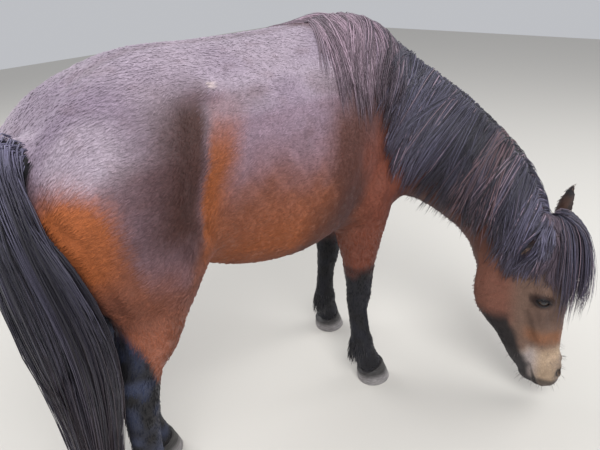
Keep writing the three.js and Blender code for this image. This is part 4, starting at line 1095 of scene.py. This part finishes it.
# side, locks, strands in each, half width of a lock, length shortest and longest, layer height
for mirror, locks, per_lock, half_width, shortest, longest, layer in (
    (1, 96, 17, 0.0105, 0.29, 0.315, 0.004),
    (1, 96, 17, 0.0105, 0.29, 0.32, 0.009),
    (1, 84, 17, 0.0105, 0.28, 0.315, 0.0145),
    (-1, 112, 9, 0.012, 0.08, 0.16, 0.003),
):
    guides, along_crest = [], []
    for i in range(locks):
        share = (i + mane_draw.uniform(0.1, 0.9)) / locks
        t = -0.045 + 1.025 * share
        root, along, up, across = crest_at(max(t, crest_start))
        if t < crest_start:
            root = root + along * ((t - crest_start) * 0.95)
            hit = skin_tree.ray_cast(root + Vector((0, 0, 0.1)), Vector((0, 0, -1)), 0.3)[0]
            root = hit if hit is not None else root
        lying = layer * (0.35 + 0.65 * float(eased(0.05, 0.3, share)))
        over_withers = float(eased(0.34, 0.12, share))
        fullness = float(np.interp(
            share, (0, 0.12, 0.22, 0.36, 0.5, 0.72, 1), (0.98, 1.07, 1.0, 0.88, 1.0, 1.0, 0.6)))
        length = (shortest + (longest - shortest) * fullness) * fullness * mane_draw.uniform(0.84, 1.08)
        if mirror < 0:
            length = (shortest + (longest - shortest) * mane_draw.random()) * (0.5 + 0.5 * fullness)
        sweep = 0.15 * mirror * (0.15 + 0.85 * math.sin(share * math.pi) ** 2) + mane_draw.normal(0, 0.034)
        sweep += 0.03 * over_withers * mirror
        start = root - up * 0.004 + across * (mirror * mane_draw.uniform(-0.011, 0.007))
        first = across * mirror + up * (0.4 if mirror > 0 else 0.05) - along * (0.22 * over_withers)
        guides.append(fallen(start, first, length, (lying, lying * 0.8 + 0.002), along * -sweep * mirror))
        along_crest.append(share)
    core, out, wide, lock, part = strands_of(
        np.array(guides), mane_draw, per_lock, half_width, half_depth=0.003, gather=0.42, stray=0.0085,
        hair_width=0.0024, length_spread=0.3, clear=0.0015)
    mane_cores.append((core, out, wide, np.array(along_crest)[lock], part))


def mane_tones(crest_share, part, draw):
    """Strand colours: blue-black with a painted blue-grey sky sheen on some strands, lighter and darker in
    clumps along the crest as painted highlights on the locks and painted shade between them, mauve over the
    withers, with a rust and a mauve streak three quarters of the way to the poll."""
    count = len(crest_share)
    base = np.tile(hair_black, (count, 1))
    pick = draw.random(count)
    for least, shade in ((0.35, hair_blue_sheen * 0.6), (0.80, hair_blue_sheen * 0.9), (0.975, hair_mauve * 0.7)):
        base = np.where((pick > least)[:, None], shade, base)
    withers = eased(0.36, 0.16, crest_share + draw.normal(0, 0.05, count))
    on_crest = np.column_stack([crest_share * 900, crest_share * 0, crest_share * 0])
    # Lighter and darker stretches along the crest: painted highlights on the locks and painted shade between
    # them.
    clump_light = eased(0.3, 0.7, 0.4 * mottling(on_crest, 34, 4) + 0.6 * mottling(on_crest, 12, 5))
    near_poll = 1.15 + 0.65 * eased(0.76, 0.9, crest_share)
    base = base * ((0.5 + 1.2 * clump_light) * near_poll)[:, None]
    base = blend(base, hair_mauve * (np.where(pick > 0.5, 1.15, 0.6) * (0.6 + 0.8 * clump_light))[:, None], withers)
    streak = eased(0.035, 0.01, np.abs(crest_share - 0.735 + draw.normal(0, 0.012, count))) * (pick > 0.45)
    base = blend(base, hair_rust * 0.5 + hair_mauve * 0.45, streak)
    pale = eased(0.012, 0.004, np.abs(crest_share - 0.785 + draw.normal(0, 0.004, count))) * (pick > 0.4)
    base = blend(base, hair_mauve * 1.2, pale) * (1 + draw.normal(0, 0.15, count))[:, None]
    shades = base[:, None] * (0.78 + 0.34 * np.clip(part, 0, 1))[..., None]
    shades = blend(shades, hair_rust * 0.6, 0.2 * eased(0.6, 1.0, part))
    shades = blend(shades, hair_black * 1.4, 0.5 * withers[:, None] * eased(0.5, 1.0, part))
    return np.clip(shades, 0.004, 0.9)


for name, rows, replaced in (("mane_inner", mane_cores[::3], ("mane",)), ("mane_outer", mane_cores[1:3], ())):
    made = []
    for core, out, wide, crest_share, part in rows:
        shades = mane_tones(crest_share, part, mane_draw)
        made.append((strand_stations(core, out, wide), shades, unwrapped(core[:, 0])))
    stations, shades, seats = (np.concatenate(column) for column in zip(*made))
    ribbon_mesh(name, stations, shades, seats, long_hair, replaced=replaced)

# Forelock: hair from the poll that arches forward between the ears and hangs before the face past the
# eyes, and a fan of hair that falls over the near ear and the cheek.
forelock_draw = np.random.default_rng(29)
forelock_locks, fan_locks = 66, 44
# out of the face and how far a lifted lock adds to it, aside, half the spread, up the head
forelock_fall = ((14, 44, -4, 26, 472), (24, 62, -9, 39, 415), (26, 69, -15, 48, 350), (24, 69, -18, 52, 285),
                 (20, 62, -20, 52, 218))
forelock_stops = np.linspace(0, 1, 12)
forelock_guides = []
for i in range(forelock_locks):
    s = -1 + 2 * (i + forelock_draw.uniform(0.1, 0.9)) / forelock_locks
    lifted = forelock_draw.random()
    near_face = i % 3 == 0
    stand = (0.08 + 0.3 * lifted if near_face else 0.26 + 0.74 * lifted) - 0.25 * s * s
    line = [on_head(4 - 26 * lifted, 16 * s, 450), on_head(14 - 28 * lifted, 18 * s, 474 + 14 * lifted)]
    tip_lift = forelock_draw.uniform(-22, 60)
    for (x, out, y, wide, z), lift in zip(forelock_fall, (0, 0, 0, 0, tip_lift)):
        place = on_head(x + out * stand, y + s * wide * (1.55 if near_face else 1.12), z + lift)
        line.append(off_skin(place, 0.004))
    forelock_guides.append(smooth_line(line, forelock_stops))
for i in range(fan_locks):
    q = (i + forelock_draw.random()) / fan_locks
    reach = forelock_draw.uniform(0.72, 1.08)
    line = [on_body(424 + 14 * q, -484 - 24 * q, 534 - 10 * q)]
    bend = on_body(394 + 14 * q, -502 - 34 * q, 492 - 30 * q)
    end = on_body(354 + 40 * q, -462 - 96 * q, 428 - 112 * q)
    for share, place in ((0.25, line[0].lerp(bend, 0.5)), (0.5, bend), (0.75, bend.lerp(end, 0.5 * reach)),
                         (1.0, bend.lerp(end, reach))):
        place = place + Vector([forelock_draw.normal(0, 0.004 + 0.006 * share) for _ in range(3)])
        line.append(off_skin(place, 0.003 + 0.012 * forelock_draw.random()))
    forelock_guides.append(smooth_line(line, forelock_stops))
core, out, wide, lock, part = strands_of(
    np.array(forelock_guides), forelock_draw, per_lock=13, half_width=0.0095, half_depth=0.004, gather=0.4,
    stray=0.009, hair_width=0.0018, length_spread=0.3, clear=0.0015)
shades = mane_tones(np.full(len(lock), 0.8), part, forelock_draw)
mauve_odds = np.where(lock >= forelock_locks, 0.75, 0.16)
is_mauve = (mauve_odds > forelock_draw.random(len(lock)))[:, None, None]
shades = np.where(is_mauve, shades * 0.35 + hair_mauve * 0.5, shades)
hair_piece("forelock_hair", core, out, wide, shades, ("forelock",))

# Tail: long thick hair from all round the dock, that fills out over the right buttock, hangs nearly to the
# ground and draws together near its tip. It is black, with a painted blue-grey sky sheen on some locks, a
# painted blue-grey sky reflection at its head, and brown tips.
tail_draw = np.random.default_rng(31)
tail_locks = 168
# height, middle along and aside, half width aside and along
tail_fall = ((815, -590, -46, 74, 30), (742, -598, -56, 96, 42), (640, -582, -84, 116, 56),
             (500, -570, -96, 98, 56), (350, -568, -96, 52, 38), (200, -572, -86, 38, 32),
             (60, -576, -80, 28, 26))
dock_radii = (36, 34, 31, 29, 26, 21, 13)
tail_guides, tail_shares = [], []
for i in range(tail_locks):
    outer = i % 3
    t = tail_draw.uniform(0.26, 0.6) if outer else tail_draw.uniform(0.6, 0.95)
    fill = (0.42, 1.0, 0.72)[outer]
    angle = tail_draw.uniform(0, 2 * math.pi)
    before, centre, after = smooth_line(dock_line, [max(t - 0.03, 0), t, min(t + 0.03, 1)])
    centre, ahead = Vector(centre), Vector(after - before).normalized()
    back = (Vector((-1, 0, 0)) + ahead * ahead.x).normalized()
    left_way = back.cross(ahead)
    way = back * math.cos(angle) + left_way * math.sin(angle)
    radius = float(np.interp(t, np.linspace(0, 1, len(dock_radii)), dock_radii)) / 1000
    line = [centre + way * (radius - 0.008), centre + way * (radius - 0.001) + ahead * 0.026]
    away_x, away_y = -math.cos(angle), math.sin(angle) * left_way.y
    tip = tail_draw.uniform(-36, 150) if outer else tail_draw.uniform(-30, 260)
    for z, x, y, across, along in tail_fall:
        place = on_body(x + away_x * along * fill, y + away_y * across * fill, z + (tip if z < 100 else 0))
        if place.z < line[-1].z - 0.03:
            line.append(off_skin(place, 0.006))
    tail_guides.append(smooth_line(line, np.linspace(0, 1, 15)))
    tail_shares.append(tail_draw.random())
core, out, wide, lock, part = strands_of(
    np.array(tail_guides), tail_draw, per_lock=17, half_width=0.014, half_depth=0.008, gather=0.3,
    stray=0.010, hair_width=0.0022, length_spread=0.2, clear=0.002)
lock_tone = np.array(tail_shares)[lock] + tail_draw.normal(0, 0.08, len(lock))
# Locks from black to blue-grey: a painted sky sheen on the lighter ones.
base = blend(hair_black * 0.7, hair_blue_sheen * 0.75, eased(0.35, 1.1, lock_tone))
# A painted blue-grey sky reflection at the head of the tail.
head_sky_sheen = eased(0.34, 0.02, part) * (0.5 + 0.5 * eased(0, 1, lock_tone))[:, None]
tip_rust = eased(0.35, 1.0, part) * eased(0.2, 1.2, tail_draw.random(len(lock)) + lock_tone * 0.4)[:, None]
shades = blend(blend(base[:, None], hair_blue_sheen * 2.8, head_sky_sheen * 0.9), hair_rust * 0.42, tip_rust * 0.75)
deep_in = (lock % 3) == 0
for name, chosen, replaced in (("tail_outer", ~deep_in, ("tail",)), ("tail_inner", deep_in, ())):
    hair_piece(name, core[chosen], out[chosen], wide[chosen], shades[chosen], replaced)

# Feather and whiskers: the long hair behind each fetlock, the fringe over each hoof, the ear's inner hair,
# the lashes and a few stiff whiskers round the muzzle.
fine_draw = np.random.default_rng(37)
fine_sets = {"feather_hair": [], "ear_and_lash_hair": []}
fine_taper = (0.8, 1, 0.9, 0.6, 0.2)


def fine_hair(kind, root, way, length, sag, width, shade):
    """One hair that leaves its root one way and sags."""
    places = []
    place, heading = Vector(root), Vector(way).normalized()
    for _ in fine_taper:
        places.append(list(place))
        heading = (heading + Vector((0, 0, -sag))).normalized()
        place = place + heading * (length / (len(fine_taper) - 1))
        place.z = max(place.z, 0.004)
    fine_sets[kind].append((places, width, shade))


# each foot: the middle of its sole and how far its toe turns out in degrees, then its fetlock
feet = {
    "fore_right": ((204, -148, -25), (176, -128, 114)),
    "fore_left": ((312, 116, -4), (292, 114, 114)),
    "hind_right": ((-462, -128, 0), (-490, -126, 116)),
    "hind_left": ((-360, 78, 8), (-388, 84, 116)),
}
toe_height, heel_height = 62, 34
down = Vector((0, 0, -1))
for (sole_x, sole_y, toe_out), (x, y, z) in feet.values():
    heading = math.radians(toe_out)
    for _ in range(170):
        turn = fine_draw.normal(math.pi, 0.62)
        level = fine_draw.uniform(-26, 34)
        out = level_way(heading + turn)
        hit = skin_tree.ray_cast(on_body(x, y, z + level) + out * 0.06, -out, 0.08)[0]
        if hit is None:
            continue
        length = fine_draw.uniform(0.016, 0.034) * (1 if abs(turn - math.pi) < 0.8 else 0.55)
        fine_hair("feather_hair", hit - out * 0.001, out * 0.55 + down, length, 0.22,
                  fine_draw.uniform(0.0016, 0.0026), leg_black * fine_draw.uniform(0.7, 1.5))
    for _ in range(130):
        turn = fine_draw.uniform(0, 2 * math.pi)
        out = level_way(heading + turn)
        edge = heel_height + (toe_height - heel_height) * (math.cos(turn) + 1) / 2
        start = on_body(sole_x, sole_y, edge + 9) - level_way(heading) * 0.012 + out * 0.06
        hit = skin_tree.ray_cast(start, -out, 0.06)[0]
        if hit is None:
            continue
        fine_hair("feather_hair", hit - out * 0.001, out * 0.35 + down, fine_draw.uniform(0.011, 0.019), 0.1,
                  fine_draw.uniform(0.0016, 0.0024), leg_black * fine_draw.uniform(0.7, 1.6))
for seat, aside, front, up in ears:
    for _ in range(230):
        edge = fine_draw.choice((-1, 1))
        height = fine_draw.uniform(4, 100)
        full = np.interp(height, (0, 45, 87, 112), (0.84, 1, 0.66, 0.1))
        over = aside * (edge * full * fine_draw.uniform(12, 24) / 1000)
        hit = skin_tree.ray_cast(seat + up * (height / 1000) + over + front * 0.03, -front, 0.05)[0]
        if hit is None:
            continue
        way = up * 0.8 - aside * (edge * 0.5) + front * fine_draw.uniform(0.1, 0.6)
        fine_hair("ear_and_lash_hair", hit - front * 0.001, way, fine_draw.uniform(0.009, 0.02), 0.02, 0.0013,
                  face_brown * fine_draw.uniform(0.3, 1.1))
for s in (-1, 1):
    axes = eye_axes(s)
    for _ in range(70):
        u = fine_draw.uniform(-15, 15)
        v = slit_up * (1 - (u / slit_half) ** 2) + fine_draw.uniform(0.2, 1.6)
        w = math.sqrt(max((ball_radius + lid_thickness) ** 2 - u * u - v * v, 1))
        root = np.array(eye_middle(s)) + (axes[0] * u + axes[1] * v + axes[2] * (w - 0.6)) / 1000
        way = axes[2] + axes[1] * 0.25 + axes[0] * (u / 30) + np.array((0, 0, -0.5))
        fine_hair("ear_and_lash_hair", root, way, fine_draw.uniform(0.008, 0.013), -0.06, 0.0009, bare_dark)
for _ in range(90):
    place = on_head(fine_draw.uniform(-50, 46), fine_draw.uniform(-40, 40), fine_draw.uniform(12, 92))
    near, out, _ = above_skin(place + (place - on_head(-10, 0, 60)).normalized() * 0.06)
    fine_hair("ear_and_lash_hair", near - out * 0.001, out + Vector((0, 0, -0.35)),
              fine_draw.uniform(0.010, 0.026), 0.05, 0.0007, tone(90, 82, 78))
for name, hairs in fine_sets.items():
    core, width, shade = (np.array(column) for column in zip(*hairs))
    out = stacked(above_skin(Vector(hair[0]))[1] for hair in core)
    out, shades = (np.repeat(each[:, None], len(fine_taper), axis=1) for each in (out, shade))
    hair_piece(name, core, out, width[:, None] * np.array(fine_taper), shades)

# Eyes: a wet dark brown ball behind the lids, with a level oval pupil. The ramp's last stop, white, is
# only reached behind the lids.
eye_finish, tree, body = new_finish("wet_brown_eye")
kept = tree.nodes.new("ShaderNodeAttribute")
kept.attribute_name = "eye_ring"
seat = tree.nodes.new("ShaderNodeTexCoord")
uneven = added(tree, "TexNoise", {"Vector": seat.outputs["Object"], "Scale": 340})
shift = added(tree, "Math", {0: uneven.outputs["Fac"], 1: 0.16, 2: kept.outputs["Fac"]}, "MULTIPLY_ADD")
ramp = added(tree, "ValToRGB", {"Fac": shift.outputs["Value"]})
stops = ramp.color_ramp.elements
stops[0].color = (0.004, 0.004, 0.006, 1)
for place, shade in ((0.36, (0.03, 0.027, 0.03, 1)), (0.46, (0.035, 0.016, 0.008, 1)),
                     (0.72, (0.035, 0.018, 0.010, 1)), (0.9, (0.014, 0.011, 0.012, 1))):
    stops.new(place).color = shade
fed(tree, body, {"Base Color": ramp.outputs["Color"], "Roughness": 0.18, "Coat Weight": 0.2,
                 "Coat Roughness": 0.02})
for which, s in (("right", -1), ("left", 1)):
    bpy.ops.mesh.primitive_uv_sphere_add(segments=48, ring_count=32, radius=ball_radius / 1000)
    ball = bpy.context.object
    ball.name = "eyeball_" + which
    local = places_of(ball.data) * 1000
    local[:, 2] += 0.9 * eased(13, 5, np.hypot(local[:, 0], local[:, 1])) * (local[:, 2] > 0)
    set_places(ball.data, np.array(eye_middle(s)) + local @ eye_axes(s) / 1000)
    ring = np.hypot(local[:, 0] / 15.5, local[:, 1] / 11.5) * 0.62
    ring = np.where(local[:, 2] > 0, np.minimum(ring + 0.08, 1), 1)
    layer = ball.data.attributes.new("eye_ring", "FLOAT", "POINT")
    layer.data.foreach_set("value", ring.astype(np.float32))
    ball.data.materials.append(eye_finish)
    bpy.ops.object.mode_set(mode="EDIT")
    bpy.ops.mesh.select_all(action="SELECT")
    bpy.ops.mesh.normals_make_consistent(inside=False)
    bpy.ops.object.mode_set(mode="OBJECT")
    bpy.ops.object.shade_smooth()
    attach(ball, "root")
    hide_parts("eye_" + which)

# Hooves: a wall of grey horn that leans forward to a flat sole, dark above the part that meets the
# ground, with fine growth rings. Sizes are in millimetres.
horn, tree, body = new_finish("grey_hoof_horn")
seat = tree.nodes.new("ShaderNodeTexCoord")
stretch = added(tree, "Mapping", {"Vector": seat.outputs["Object"], "Scale": (60, 60, 420)})
rings = added(tree, "TexNoise", {"Vector": stretch.outputs["Vector"], "Scale": 1, "Detail": 5}).outputs["Fac"]
ramp = added(tree, "ValToRGB", {"Fac": rings})
stops = ramp.color_ramp.elements
stops[0].position, stops[1].position = 0.3, 0.72
stops[0].color, stops[1].color = (0.13, 0.12, 0.125, 1), (0.36, 0.34, 0.34, 1)
level = added(tree, "SeparateXYZ", {"Vector": seat.outputs["Object"]})
darker = added(tree, "MapRange", {"Value": level.outputs["Z"], "From Min": 0.016, "From Max": 0.034,
                                  "To Min": 1, "To Max": 0.14})
shade = added(tree, "VectorMath", {0: ramp.outputs["Color"], "Scale": darker.outputs["Result"]}, "SCALE")
relief = added(tree, "Bump", {"Height": rings, "Distance": 0.001})
fed(tree, body, {"Base Color": shade.outputs["Vector"], "Roughness": 0.5, "Normal": relief.outputs["Normal"]})
half_length, half_width, lean = 49, 44, 12
cuts = 15
for limb, ((sole_x, sole_y, toe_out), _) in feet.items():
    bpy.ops.mesh.primitive_cylinder_add(vertices=56, radius=1, depth=1, end_fill_type="TRIFAN")
    hoof = bpy.context.object
    hoof.name = "hoof_wall_" + limb
    bpy.ops.object.mode_set(mode="EDIT")
    for cut in [-0.46] + [-0.42 + 0.9 * k / cuts for k in range(cuts)]:
        bpy.ops.mesh.select_all(action="SELECT")
        bpy.ops.mesh.bisect(plane_co=(0, 0, cut), plane_no=(0, 0, 1))
    bpy.ops.object.mode_set(mode="OBJECT")
    toeward, sideward, rise = places_of(hoof.data).T
    rise = rise + 0.5
    reach = np.hypot(toeward, sideward)
    from_heel = np.where(reach > 1e-6, toeward / np.maximum(reach, 1e-6), 0)
    size = 1 - 0.22 * rise + 0.012 * np.sin(rise * 46) * (rise > 0.08) * (rise < 0.96)
    size = size - 0.03 * eased(0.06, 0, rise) + 0.03 * eased(0.86, 0.95, rise) - 0.05 * eased(0.97, 1, rise)
    tall = heel_height + (toe_height - heel_height) * (toeward + 1) / 2
    ahead = toeward * half_length * size * (1 - 0.1 * eased(-0.5, -0.8, from_heel)) - rise * lean
    aside = sideward * half_width * size
    turn = math.radians(toe_out)
    local = np.column_stack([sole_x + ahead * math.cos(turn) - aside * math.sin(turn),
                             sole_y + ahead * math.sin(turn) + aside * math.cos(turn), rise * tall])
    set_places(hoof.data, np.array(body_zero) + local / 1000)
    hoof.data.materials.append(horn)
    bpy.ops.object.shade_smooth_by_angle(angle=math.radians(50))
    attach(hoof, "root")
    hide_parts("hoof_" + limb)
